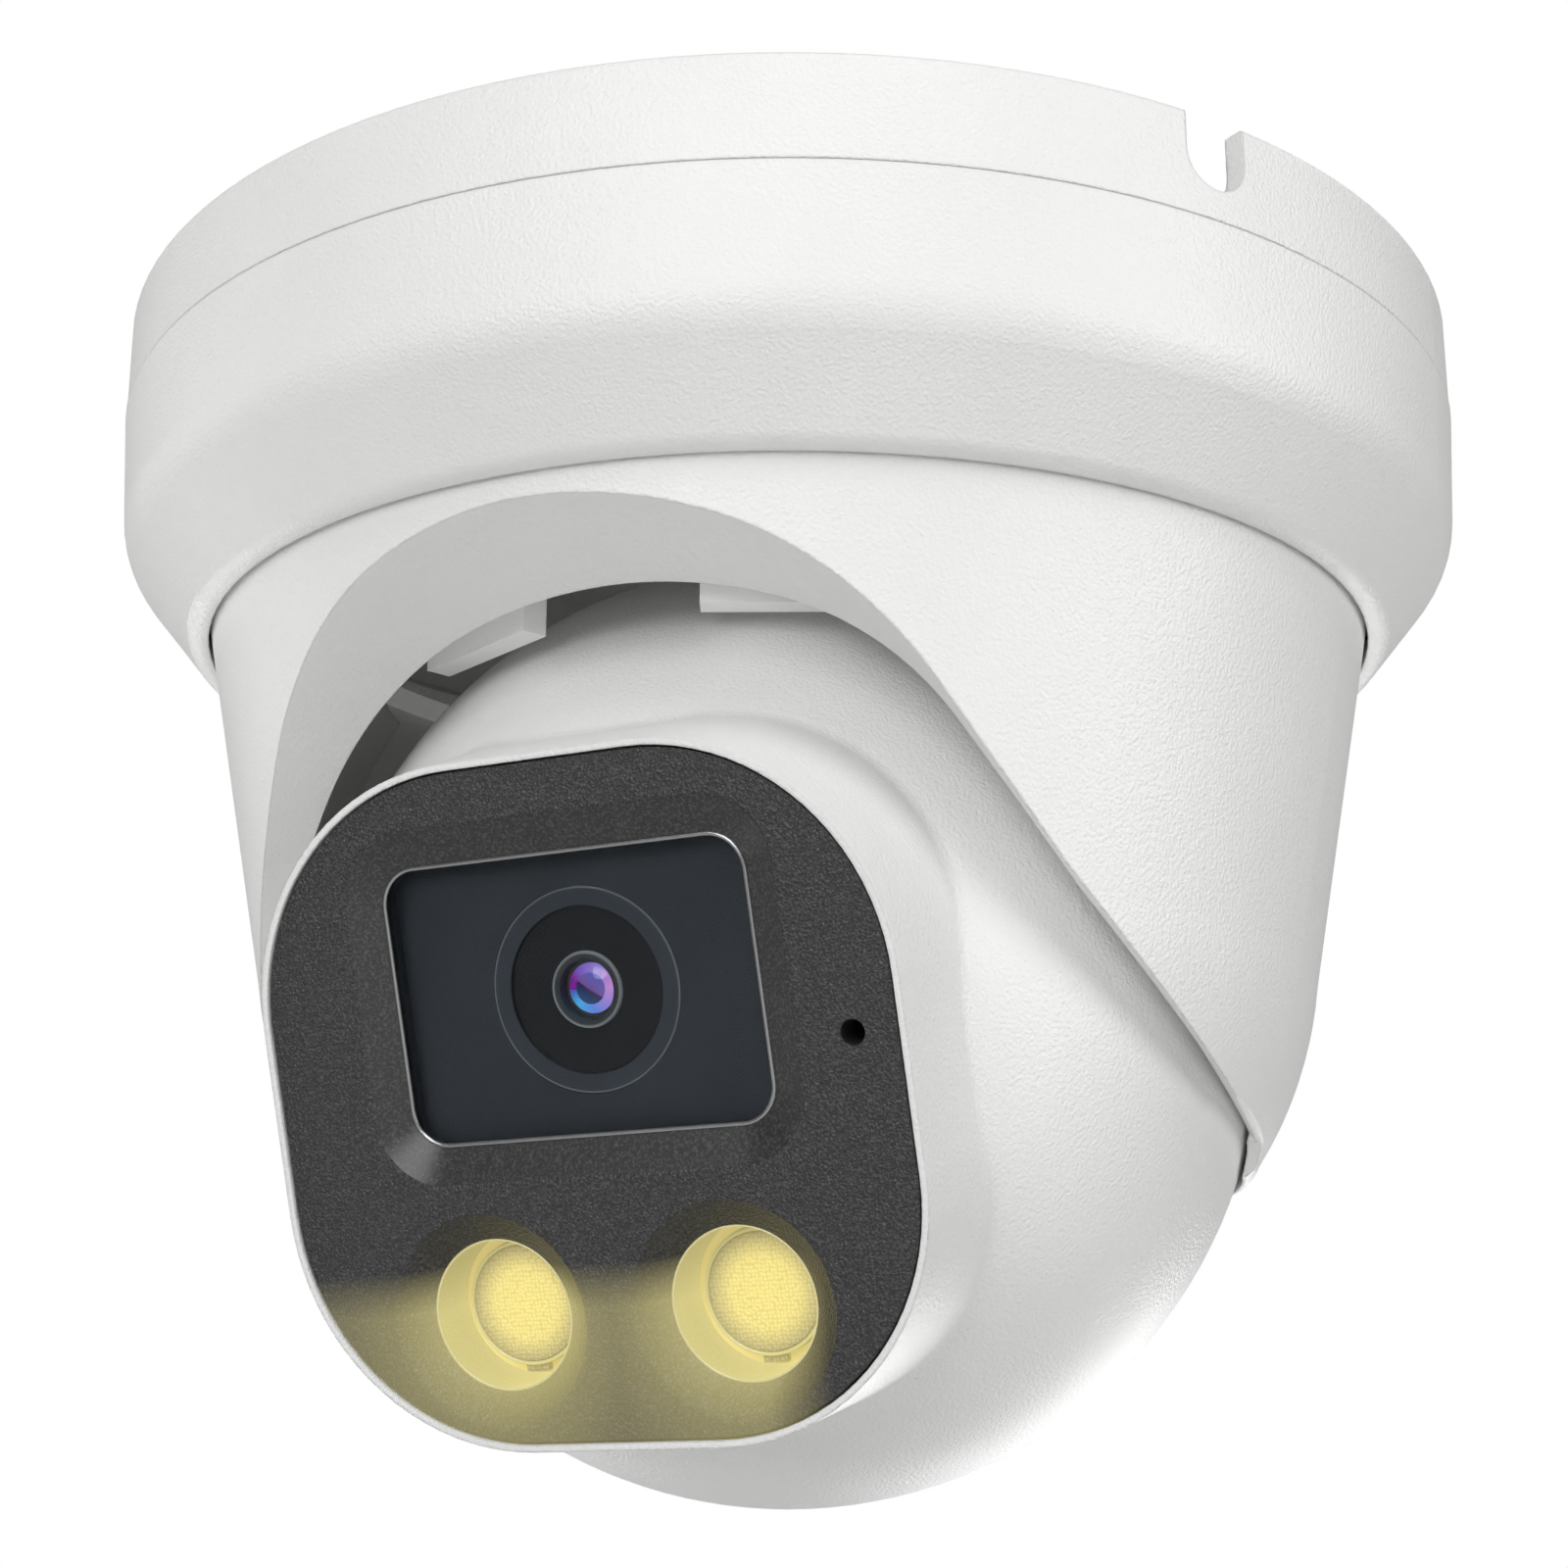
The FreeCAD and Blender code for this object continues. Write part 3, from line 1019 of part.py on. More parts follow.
mic_thick = sized(1.0)
mic_near = bed_plane - d.bed_thick - 0.4 - mic_thick
tilt_with_ball(group("microphone", [
    block("MicBody", d.mic_offset, d.mic_rise, mic_near, 1.5, 1.9, mic_thick)]))
mic_gasket = tilt_with_ball(new_body("mic_gasket"))
extrude(mic_gasket, "Pad", "MicTube", "XZ_Plane", mic_near + mic_thick,
        lambda sketch: (circle(sketch, d.mic_offset, d.mic_rise, d.mic_hole + 0.5),
                        circle(sketch, d.mic_offset, d.mic_rise, d.mic_hole)),
        Length=panel_back - mic_near - mic_thick, Reversed=False)


# ---- check and write every piece --------------------------------------------------------------
doc.recompute()
os.makedirs("parts", exist_ok=True)
for item in doc.Objects:
    if "Invalid" in item.State or "Error" in item.State:
        raise RuntimeError("%s: %s" % (item.Label, item.State))
for item in doc.Objects:
    if item.TypeId == "PartDesign::Body" or item.Label in GROUPS:
        if item.Shape.isNull() or not item.Shape.isValid():
            raise RuntimeError("bad shape: " + item.Label)
        item.Shape.exportStep("parts/%s.step" % item.Label)
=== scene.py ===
# Looks of a ceiling-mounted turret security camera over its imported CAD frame.
#
# Everything is in metres, in the CAD's frame: the ceiling plane is Z = 0, the camera hangs below it
# and the opening of its housing faces -Y. Pieces of the ball are drawn in the ball's own frame,
# whose -Y axis is the way the lens looks, and are then placed by BALL.

import json
import math

import bmesh
import bpy
from mathutils import Matrix, Vector

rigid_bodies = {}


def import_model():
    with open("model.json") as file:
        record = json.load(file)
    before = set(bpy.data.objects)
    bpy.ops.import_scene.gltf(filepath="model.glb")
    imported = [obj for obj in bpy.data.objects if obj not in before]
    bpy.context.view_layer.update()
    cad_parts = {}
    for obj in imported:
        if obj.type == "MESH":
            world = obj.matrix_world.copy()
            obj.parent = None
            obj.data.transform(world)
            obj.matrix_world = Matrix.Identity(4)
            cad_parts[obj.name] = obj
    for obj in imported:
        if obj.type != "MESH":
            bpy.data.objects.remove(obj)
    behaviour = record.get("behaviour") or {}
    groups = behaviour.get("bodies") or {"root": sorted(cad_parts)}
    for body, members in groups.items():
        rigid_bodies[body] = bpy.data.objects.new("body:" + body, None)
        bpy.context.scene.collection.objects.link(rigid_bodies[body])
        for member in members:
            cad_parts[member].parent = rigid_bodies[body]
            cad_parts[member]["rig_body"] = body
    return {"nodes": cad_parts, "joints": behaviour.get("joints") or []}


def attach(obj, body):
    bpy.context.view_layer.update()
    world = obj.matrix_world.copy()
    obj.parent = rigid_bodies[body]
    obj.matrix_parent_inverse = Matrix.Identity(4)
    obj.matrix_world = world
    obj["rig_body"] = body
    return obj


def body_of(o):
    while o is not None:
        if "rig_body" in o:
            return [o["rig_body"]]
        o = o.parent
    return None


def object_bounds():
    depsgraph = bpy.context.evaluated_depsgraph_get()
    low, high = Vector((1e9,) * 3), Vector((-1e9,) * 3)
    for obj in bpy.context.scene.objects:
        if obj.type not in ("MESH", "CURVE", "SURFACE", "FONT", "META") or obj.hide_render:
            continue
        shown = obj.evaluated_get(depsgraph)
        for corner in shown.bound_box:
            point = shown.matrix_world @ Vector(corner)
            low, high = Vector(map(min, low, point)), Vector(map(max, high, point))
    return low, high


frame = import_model()
nodes = frame["nodes"]
cad_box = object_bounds()

MM = 0.001
JOINTS = {joint["name"]: joint for joint in frame["joints"]}
BALL_CENTRE = Vector(JOINTS["tilt"]["pos_m"])
LOOKS = Vector(JOINTS["rotate"]["axis"])
DOWNWARD = math.atan2(-LOOKS.z, -LOOKS.y)
BALL = Matrix.Translation(BALL_CENTRE) @ Matrix.Rotation(DOWNWARD, 4, "X")

# places on the face, in the ball's frame: X to the side, Z up
FACE_PLANE = -41.64 * MM
LENS_RISE = 9.0 * MM
LAMP_OFFSET = 10.7 * MM
LAMP_RISE = -16.3 * MM
LAMP_TUBE = 6.1 * MM
COLLIMATOR_RADIUS = 5.0 * MM
COATING_RADIUS = 2.04 * MM
COATING_MIDDLE = 1.27 * MM
WINDOW_HALF = (16.05 * MM, 11.25 * MM)
WINDOW_CORNER = 3.0 * MM

# radii on the front of the lens barrel between which one of its looks turns into the next
MOUTH_EDGE = (2.8 * MM, 2.93 * MM)
CHAMFER_EDGE = (3.08 * MM, 3.12 * MM)
DISC_EDGE = (6.72 * MM, 6.78 * MM)
RING_EDGE = (8.08 * MM, 8.16 * MM)

# depths in the face, from the rims in the lamp tubes forward to the skin of the face plane
COLLIMATOR_RIM = FACE_PLANE + 6.1 * MM
CONE_FLOOR = FACE_PLANE + 2.2 * MM
BEVEL_FLOOR = FACE_PLANE + 1.5 * MM
FACE_SKIN = FACE_PLANE + 0.12 * MM

# the flared cones round the lamps lie below this height, and the yellow glow painted on the face round the
# lamps fades out this far from them
CONES_BELOW = LAMP_RISE + 9.5 * MM
PAINTED_GLOW_REACH = 20 * MM


# ---------------------------------------------------------------- materials

class Finish:
    """A Principled material: its own sockets by name, and small functions that add detail."""

    def __init__(self, name, colour, roughness, **sockets):
        self.material = bpy.data.materials.new(name)
        self.material.use_nodes = True
        self.tree = self.material.node_tree
        self.shader = self.tree.nodes["Principled BSDF"]
        self.normal = None
        self.set("Base Color", (*colour, 1.0))
        self.set("Roughness", roughness)
        for socket, value in sockets.items():
            self.set(socket.replace("_", " "), value)

    def set(self, socket, value):
        """Gives one of the shader's own sockets a plain value."""
        self.shader.inputs[socket].default_value = value

    def add(self, kind, **inputs):
        """A new node of that kind, with the named inputs set or linked."""
        node = self.tree.nodes.new("ShaderNode" + kind)
        for socket, value in inputs.items():
            self.feed(node.inputs[socket.replace("_", " ")], value)
        return node

    def feed(self, socket, value):
        """Links value to the socket if it is a socket too, or else sets it."""
        if isinstance(value, bpy.types.NodeSocket):
            self.tree.links.new(value, socket)
        else:
            socket.default_value = value

    def place(self, stretch=(1, 1, 1), frame_matrix=None):
        """Coordinates fixed to the piece, stretched, or turned into another frame."""
        coordinates = self.add("TexCoord").outputs["Object"]
        mapping = self.add("Mapping", Vector=coordinates, Scale=stretch)
        if frame_matrix is not None:
            back = frame_matrix.inverted()
            mapping.inputs["Location"].default_value = back.to_translation()
            mapping.inputs["Rotation"].default_value = back.to_euler("XYZ")
        return mapping.outputs["Vector"]

    def noise(self, size, detail=2.0, roughness=0.5, at=None):
        """Cloudy noise with features of about that size in metres."""
        at = at or self.place()
        node = self.add("TexNoise", Vector=at, Scale=1 / size, Detail=detail, Roughness=roughness)
        return node.outputs["Fac"]

    def cells(self, size, at=None, feature="F1", randomness=1.0):
        """Distance to the nearest of cell centres about that far apart, scattered by randomness."""
        node = self.add("TexVoronoi", Vector=at or self.place(), Scale=1 / size, Randomness=randomness)
        node.feature = feature
        return node.outputs["Distance"]

    def math(self, operation, *values):
        """Result of a Math node on numbers or sockets."""
        node = self.tree.nodes.new("ShaderNodeMath")
        node.operation = operation
        for socket, value in zip(node.inputs, values):
            self.feed(socket, value)
        return node.outputs[0]

    def in_ball(self):
        """Position in the ball's own frame, as three separate sockets x, y and z."""
        split = self.add("SeparateXYZ", Vector=self.place(frame_matrix=BALL))
        return [split.outputs[axis] for axis in "XYZ"]

    def off_axis(self, x, z, centre):
        """Distance of (x, z) from a centre, both seen along the ball's Y axis."""
        across = self.math("SUBTRACT", x, centre[0])
        up = self.math("SUBTRACT", z, centre[1])
        squares = self.math("ADD", self.math("MULTIPLY", across, across), self.math("MULTIPLY", up, up))
        return self.math("SQRT", squares)

    def near_lamps(self, x, z):
        """Distance from the nearer of the two lamps' axes."""
        return self.math("MINIMUM", *(
            self.off_axis(x, z, (side * LAMP_OFFSET, LAMP_RISE)) for side in (-1, 1)))

    def steps(self, value, scale, *stops):
        """A ramp of colours at the given values, which run from 0 to scale."""
        return self.ramp(self.math("DIVIDE", value, scale),
                         *((position / scale, colour) for position, colour in stops))

    def between(self, factor, low, high):
        """A number from low to high as factor goes from 0 to 1."""
        node = self.add("MapRange", Value=factor, To_Min=low, To_Max=high)
        return node.outputs["Result"]

    def how_far(self, value, start, end):
        """How far value lies between start and end, from 0 to 1."""
        return self.add("MapRange", Value=value, From_Min=start, From_Max=end).outputs["Result"]

    def pick(self, factor, otherwise, chosen):
        """The chosen colour where factor is 1, the other where it is 0."""
        node = self.tree.nodes.new("ShaderNodeMix")
        node.data_type = "RGBA"
        colours = [socket for socket in node.inputs if socket.type == "RGBA"]
        self.feed(node.inputs[0], factor)
        self.feed(colours[0], otherwise)
        self.feed(colours[1], chosen)
        return next(socket for socket in node.outputs if socket.type == "RGBA")

    def ramp(self, factor, *stops):
        """A colour ramp with stops of (position, colour)."""
        node = self.add("ValToRGB", Fac=factor)
        points = node.color_ramp.elements
        while len(points) < len(stops):
            points.new(1.0)
        for point, (position, colour) in zip(points, stops):
            point.position = position
            point.color = (*colour, 1.0)
        return node.outputs["Color"]

    def bump(self, height, depth, strength=1.0):
        """Raises the surface by height times depth, in metres, over the bumps added before."""
        node = self.add("Bump", Height=height, Distance=depth, Strength=strength)
        if self.normal is not None:
            self.feed(node.inputs["Normal"], self.normal)
        self.normal = node.outputs["Normal"]
        self.feed(self.shader.inputs["Normal"], self.normal)

    def soften(self, radius):
        """Makes sharp edges catch the light as if rounded by that radius."""
        self.normal = self.add("Bevel", Radius=radius).outputs["Normal"]
        self.feed(self.shader.inputs["Normal"], self.normal)

    def vary_roughness(self, factor, low, high):
        """Lets the roughness run from low to high with the factor."""
        self.feed(self.shader.inputs["Roughness"], self.between(factor, low, high))

    def vary_colour(self, factor, dark, light, start=0.3, end=0.7):
        """Lets the colour run from dark to light as the factor goes from start to end."""
        colour = self.ramp(factor, (start, dark), (end, light))
        self.feed(self.shader.inputs["Base Color"], colour)

    def wear(self, *names):
        """Puts this finish on the named CAD nodes."""
        for name in names:
            mesh = nodes[name].data
            mesh.materials.clear()
            mesh.materials.append(self.material)


def moulded_white():
    """White shell: leathery grain, faint clouding, satin."""
    finish = Finish("white_shell", (0.88, 0.88, 0.87), 0.4, Specular_IOR_Level=0.45)
    cloud_size = 14 * MM
    grain_size = 0.32 * MM
    grain_depth = 0.11 * MM
    edge_radius = 0.35 * MM
    clouds = finish.noise(cloud_size, detail=3.0)
    finish.vary_colour(clouds, (0.868, 0.868, 0.856), (0.895, 0.895, 0.885))
    finish.soften(edge_radius)
    leather = finish.noise(grain_size, detail=1.5, roughness=0.5)
    finish.vary_roughness(leather, 0.32, 0.44)
    finish.bump(leather, grain_depth, 1.0)
    return finish


def moulded(name, dark, light, low, high, grain, depth):
    """Plain moulded plastic or rubber: two close colours, a grain of that size and depth."""
    finish = Finish(name, light, high)
    finish.vary_colour(finish.noise(9 * MM, detail=3.0), dark, light)
    fine = finish.noise(grain, detail=2.0)
    finish.vary_roughness(fine, low, high)
    finish.bump(fine, depth, 0.8)
    return finish


def painted_bounce_glow(finish, level):
    """Paints a faint glow into the finish: painted light standing in for the light that bounces about
    between the pale pieces inside the housing.
    """
    finish.set("Emission Color", (1.0, 1.0, 0.98, 1.0))
    finish.set("Emission Strength", level)
    return finish


def metal(name, dark, light, low, high, stretch=(1, 1, 1)):
    """Bare metal with fine marks, drawn out along the axes with a small stretch."""
    finish = Finish(name, light, high, Metallic=1.0)
    at = finish.place(stretch)
    marks = finish.noise(0.25 * MM, detail=4.0, at=at)
    finish.vary_colour(finish.noise(6 * MM, detail=3.0), dark, light)
    finish.vary_roughness(marks, low, high)
    finish.bump(marks, 0.01 * MM, 0.5)
    return finish


def grained_black():
    """The face: black plastic with a sharp, sparkling grain, smooth round the window and in the
    lamp tubes, with a yellow glow painted beside and below the lamps and inside their tubes, as painted
    light from the lamps."""
    finish = Finish("black_panel", (0.04, 0.04, 0.04), 0.4, Specular_IOR_Level=0.5)
    x, y, z = finish.in_ball()
    front = finish.math("LESS_THAN", y, FACE_SKIN)
    cones = finish.math("LESS_THAN", z, CONES_BELOW)
    tube = finish.near_lamps(x, z)
    outside_tubes = finish.math("GREATER_THAN", tube, LAMP_TUBE + 0.1 * MM)
    grained = finish.math("MULTIPLY", finish.math("MAXIMUM", front, cones), outside_tubes)
    grain_size = 0.24 * MM
    grain_depth = 0.12 * MM
    edge_radius = 0.25 * MM
    grain = finish.noise(grain_size, detail=2.0, roughness=0.6)
    finish.vary_colour(grain, (0.026, 0.026, 0.026), (0.085, 0.085, 0.085), 0.46, 0.72)
    finish.vary_roughness(grain, 0.24, 0.40)
    finish.soften(edge_radius)
    finish.bump(finish.cells(grain_size), grain_depth, finish.math("MULTIPLY", grained, 0.9))
    finish.bump(grain, grain_depth, grained)
    # painted light: a yellow glow painted on the face, brightest next to the lamp tubes and fading with
    # distance from the nearer lamp
    beside = finish.steps(tube, PAINTED_GLOW_REACH, (6.2 * MM, (0.44, 0.39, 0.155)),
                          (9 * MM, (0.27, 0.24, 0.095)), (13 * MM, (0.19, 0.17, 0.072)),
                          (PAINTED_GLOW_REACH, (0.12, 0.108, 0.05)))
    # painted light: where the painted glow shows, as a spill below and beside the lamps and brighter inside
    # the lamp tubes
    below = finish.how_far(z, LAMP_RISE + 4.2 * MM, LAMP_RISE + 0.6 * MM)
    leftward = finish.how_far(x, LAMP_OFFSET + 7.5 * MM, LAMP_OFFSET + 1.5 * MM)
    painted_glow_spill = finish.math("MULTIPLY", finish.math("MULTIPLY", below, leftward), 0.85)
    in_tube = finish.math("SUBTRACT", 1.0, outside_tubes)
    painted_tube_glow = finish.between(finish.how_far(z, LAMP_RISE + 5 * MM, LAMP_RISE), 0.7, 1.35)
    finish.feed(finish.shader.inputs["Emission Color"], beside)
    finish.feed(finish.shader.inputs["Emission Strength"],
                finish.math("MAXIMUM", painted_glow_spill, finish.math("MULTIPLY", in_tube, painted_tube_glow)))
    return finish


def pane():
    """Thin, faintly smoked window."""
    finish = Finish("clear_glass", (0.80, 0.84, 0.88), 0.03, Transmission_Weight=1.0, IOR=1.15)
    finish.vary_roughness(finish.noise(8 * MM, detail=3.0), 0.01, 0.05)
    finish.bump(finish.noise(12 * MM), 0.01 * MM, 0.1)
    return finish


def coated_glass():
    """Lens glass with painted reflections: the violet and blue that its coating mirrors are painted
    in a ring, over a dark middle half of which a paler painted reflection covers."""
    finish = Finish("coated_glass", (0.02, 0.02, 0.03), 0.06, Specular_IOR_Level=0.6)
    x, _, z = finish.in_ball()
    radius = finish.off_axis(x, z, (0.0, LENS_RISE))
    rise = finish.math("SUBTRACT", z, LENS_RISE)
    turn = finish.math("DIVIDE", finish.math("ARCTAN2", rise, x), 2 * math.pi)
    round_lens = finish.math("ADD", turn, 0.5)
    # painted reflection: the coating's violet and blue, painted round the lens as a glowing ring
    ring = finish.ramp(round_lens, (0.0, (0.06, 0.10, 0.45)), (0.12, (0.08, 0.42, 0.80)),
                       (0.25, (0.13, 0.25, 0.72)), (0.38, (0.34, 0.24, 0.66)), (0.5, (0.55, 0.24, 0.62)),
                       (0.68, (0.32, 0.22, 0.62)), (0.82, (0.20, 0.12, 0.52)), (0.92, (0.20, 0.01, 0.28)))
    # painted reflection: the middle of the lens is painted dark on one side of a slanting line and paler on
    # the other
    slant = finish.math("ADD", finish.math("MULTIPLY", x, 0.75), rise)
    slant_end = 1.3 * MM
    middle = finish.ramp(finish.how_far(slant, -slant_end, slant_end),
                         (0.0, (0.01, 0.05, 0.14)), (0.3, (0.01, 0.02, 0.08)), (0.46, (0.02, 0.008, 0.05)),
                         (0.48, (0.16, 0.06, 0.26)), (0.75, (0.13, 0.10, 0.36)), (1.0, (0.12, 0.10, 0.42)))
    inside = finish.math("LESS_THAN", radius, COATING_MIDDLE)
    coated = finish.math("LESS_THAN", radius, COATING_RADIUS)
    # the painted reflections glow at full strength over the coating, with a faint grey glow beyond it
    colour = finish.pick(inside, ring, middle)
    finish.feed(finish.shader.inputs["Emission Color"], finish.pick(coated, (0.03, 0.03, 0.03, 1.0), colour))
    finish.set("Emission Strength", 1.0)
    finish.vary_roughness(finish.noise(1.2 * MM, detail=1.0), 0.04, 0.1)
    return finish


def barrel_black():
    """Lens barrel: a painted highlight on the chamfer at the mouth, a matt dark disc, a smooth blue-grey
    ring and a painted highlight on the edge beyond it.
    """
    finish = Finish("lens_barrel_black", (0.02, 0.02, 0.02), 0.35, Specular_IOR_Level=0.4)
    x, _, z = finish.in_ball()
    radius = finish.off_axis(x, z, (0.0, LENS_RISE))
    matt_disc = (0.018, 0.018, 0.018)
    smooth_ring = (0.062, 0.067, 0.075)
    # painted highlights: the chamfer at the mouth and the thin edge beyond the ring are painted pale grey,
    # as if catching the light
    colour = finish.steps(
        radius, 9 * MM, (0.0, (0.04, 0.042, 0.04)), (MOUTH_EDGE[0], (0.06, 0.062, 0.06)),
        (MOUTH_EDGE[1], (0.34, 0.34, 0.33)), (CHAMFER_EDGE[0], (0.40, 0.40, 0.39)),
        (CHAMFER_EDGE[1], matt_disc), (DISC_EDGE[0], matt_disc), (DISC_EDGE[1], smooth_ring),
        (RING_EDGE[0], smooth_ring), (RING_EDGE[1], (0.26, 0.26, 0.26)))
    finish.feed(finish.shader.inputs["Base Color"], colour)
    fine = finish.noise(0.2 * MM)
    finish.vary_roughness(fine, 0.3, 0.45)
    finish.soften(0.15 * MM)
    finish.bump(fine, 0.01 * MM, 0.4)
    return finish


def phosphor():
    """Glowing yellow chip of a lamp."""
    finish = Finish("led_phosphor", (0.95, 0.75, 0.2), 0.5, Emission_Color=(1.0, 0.78, 0.3, 1.0),
                    Emission_Strength=4.0)
    finish.bump(finish.noise(0.2 * MM), 0.02 * MM, 0.5)
    return finish


def lit_lens():
    """Collimator: a honeycomb of tiny lenses, glowing yellow in the middle, clearer at the rim."""
    finish = Finish("led_lens", (0.52, 0.47, 0.26), 0.22, Specular_IOR_Level=0.5)
    x, _, z = finish.in_ball()
    radius = finish.near_lamps(x, z)
    beads = finish.cells(0.34 * MM, at=finish.place(frame_matrix=BALL), randomness=0.45)
    glow = finish.steps(radius, 5.2 * MM, (0.0, (0.80, 0.66, 0.17)), (2.9 * MM, (0.72, 0.60, 0.17)),
                        (4.1 * MM, (0.40, 0.34, 0.13)), (4.8 * MM, (0.19, 0.17, 0.09)))
    finish.feed(finish.shader.inputs["Emission Color"], glow)
    finish.feed(finish.shader.inputs["Emission Strength"], finish.between(beads, 1.0, 0.5))
    finish.bump(beads, 0.3 * MM, 1.0)
    return finish


def holder():
    """Lamp holder of yellowish clear plastic, lit from within."""
    finish = Finish("led_holder", (0.62, 0.55, 0.26), 0.3, Emission_Color=(1.0, 0.85, 0.35, 1.0),
                    Emission_Strength=0.35)
    finish.bump(finish.noise(0.4 * MM), 0.02 * MM, 0.4)
    return finish


def circuit_board():
    """Green lacquered board with faint tracks."""
    finish = Finish("circuit_board", (0.01, 0.10, 0.04), 0.35, Coat_Weight=0.3)
    tracks = finish.cells(2.4 * MM, feature="DISTANCE_TO_EDGE")
    finish.vary_colour(tracks, (0.02, 0.17, 0.06), (0.008, 0.09, 0.035), 0.03, 0.06)
    finish.vary_roughness(finish.noise(1.5 * MM), 0.25, 0.42)
    finish.bump(tracks, 0.02 * MM, 0.3)
    return finish


def dress_frame():
    """Puts a finish on every node of the CAD frame."""
    moulded_white().wear("mounting_base", "trim_ring", "swivel_housing", "ball_front_shell",
                         "ball_rear_shell")
    moulded("black_foam", (0.02, 0.02, 0.02), (0.04, 0.04, 0.04), 0.8, 0.95, 0.5 * MM,
            0.15 * MM).wear("base_gasket")
    moulded("black_rubber", (0.012, 0.012, 0.012), (0.03, 0.03, 0.03), 0.55, 0.75, 0.6 * MM,
            0.04 * MM).wear("cable_grommet", "ball_seal", "panel_gasket", "mic_gasket")
    moulded("natural_nylon", (0.70, 0.68, 0.60), (0.80, 0.78, 0.71), 0.3, 0.45, 0.8 * MM,
            0.02 * MM).wear("slip_washer")
    # painted light: the bracket, neck nut and cradle glow faintly, standing in for light bounced inside the
    # housing
    painted_bounce_glow(moulded("grey_plastic", (0.78, 0.78, 0.77), (0.84, 0.84, 0.83), 0.4, 0.6, 0.4 * MM,
                       0.06 * MM), 0.10).wear("socket_bracket", "neck_nut")
    painted_bounce_glow(moulded("painted_cradle", (0.78, 0.78, 0.77), (0.84, 0.84, 0.83), 0.45, 0.6, 0.5 * MM,
                       0.08 * MM), 0.12).wear("ball_cradle")
    moulded("black_plastic", (0.03, 0.033, 0.036), (0.045, 0.048, 0.052), 0.28, 0.42, 0.3 * MM,
            0.02 * MM).wear("cable_gland", "gland_nut", "lens_holder")
    moulded("window_black", (0.036, 0.040, 0.044), (0.044, 0.048, 0.052), 0.5, 0.62, 0.3 * MM,
            0.02 * MM).wear("lens_bezel")
    moulded("chips", (0.015, 0.015, 0.015), (0.03, 0.03, 0.03), 0.4, 0.6, 0.15 * MM,
            0.02 * MM).wear("board_chips", "microphone")
    metal("steel", (0.42, 0.42, 0.43), (0.60, 0.60, 0.61), 0.22, 0.42, (1, 1, 0.1)).wear(
        "trim_lock_screw", "pivot_pins", "bracket_screws", "shell_screws", "board_screws",
        "sink_screws", "neck_washer")
    metal("brass", (0.55, 0.40, 0.16), (0.72, 0.55, 0.25), 0.2, 0.35, (1, 1, 0.1)).wear(
        "board_standoffs")
    metal("heat_sink_alloy", (0.50, 0.50, 0.51), (0.66, 0.66, 0.67), 0.4, 0.6).wear("heat_sink")
    barrel_black().wear("lens_barrel")
    metal("sensor", (0.03, 0.05, 0.06), (0.05, 0.10, 0.10), 0.1, 0.2).wear("image_sensor")
    grained_black().wear("face_panel")
    pane().wear("window_glass")
    coated_glass().wear("front_lens", "rear_lens")
    circuit_board().wear("sensor_board", "main_board", "led_board")
    phosphor().wear("led_emitters")
    lit_lens().wear("led_optics")
    holder().wear("led_holders")


dress_frame()


# ---------------------------------------------------------------- fine edges of the face

def rounded_path(half_width, half_height, corner, steps=8):
    """Points round a rounded rectangle about the origin, anticlockwise."""
    points = []
    for turn, (side, rise) in enumerate(((1, 1), (-1, 1), (-1, -1), (1, -1))):
        for step in range(steps + 1):
            angle = math.pi / 2 * (turn + step / steps)
            points.append((side * (half_width - corner) + corner * math.cos(angle),
                           rise * (half_height - corner) + corner * math.sin(angle)))
    return points


def circle_path(radius, steps=72):
    """Points round a circle about the origin, anticlockwise."""
    angles = [2 * math.pi * step / steps for step in range(steps)]
    return [(radius * math.cos(angle), radius * math.sin(angle)) for angle in angles]


def edge_bead(name, path, centre, depth, thick, finish, body_node, sides=8):
    """Fine rounded edge that follows path, facing forward at that depth in the ball's frame."""
    form = bmesh.new()
    rings = []
    count = len(path)
    for place, (x, z) in enumerate(path):
        before = Vector(path[place - 1])
        after = Vector(path[(place + 1) % count])
        along = (after - before).normalized()
        out = Vector((along.y, -along.x))
        ring = []
        for side in range(sides):
            angle = 2 * math.pi * side / sides
            reach = thick * math.cos(angle)
            spot = Vector((centre[0] + x + out.x * reach, depth + thick * math.sin(angle),
                           centre[1] + z + out.y * reach))
            ring.append(form.verts.new(BALL @ spot))
        rings.append(ring)
    for place, ring in enumerate(rings):
        following = rings[(place + 1) % count]
        for side in range(sides):
            beside = (side + 1) % sides
            face = form.faces.new((ring[side], ring[beside], following[beside], following[side]))
            face.smooth = True
    mesh = bpy.data.meshes.new(name)
    form.normal_update()
    form.to_mesh(mesh)
    form.free()
    mesh.materials.append(finish.material)
    bead = bpy.data.objects.new(name, mesh)
    bpy.context.scene.collection.objects.link(bead)
    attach(bead, body_of(nodes[body_node])[0])
    return bead


def glossy_edge():
    """Rubbed, shiny edge of the black plastic."""
    finish = Finish("shiny_edge", (0.42, 0.42, 0.42), 0.24, Specular_IOR_Level=0.9, Metallic=0.9)
    finish.vary_roughness(finish.noise(1.5 * MM), 0.18, 0.3)
    finish.bump(finish.noise(0.4 * MM), 0.005 * MM, 0.3)
    return finish


def clear_edge():
    """Clear rim of the lamp parts, lit from within."""
    finish = Finish("clear_rim", (0.70, 0.66, 0.40), 0.15, Specular_IOR_Level=0.7,
                    Emission_Color=(0.55, 0.48, 0.18, 1.0), Emission_Strength=0.3)
    finish.vary_roughness(finish.noise(0.8 * MM), 0.1, 0.22)
    return finish


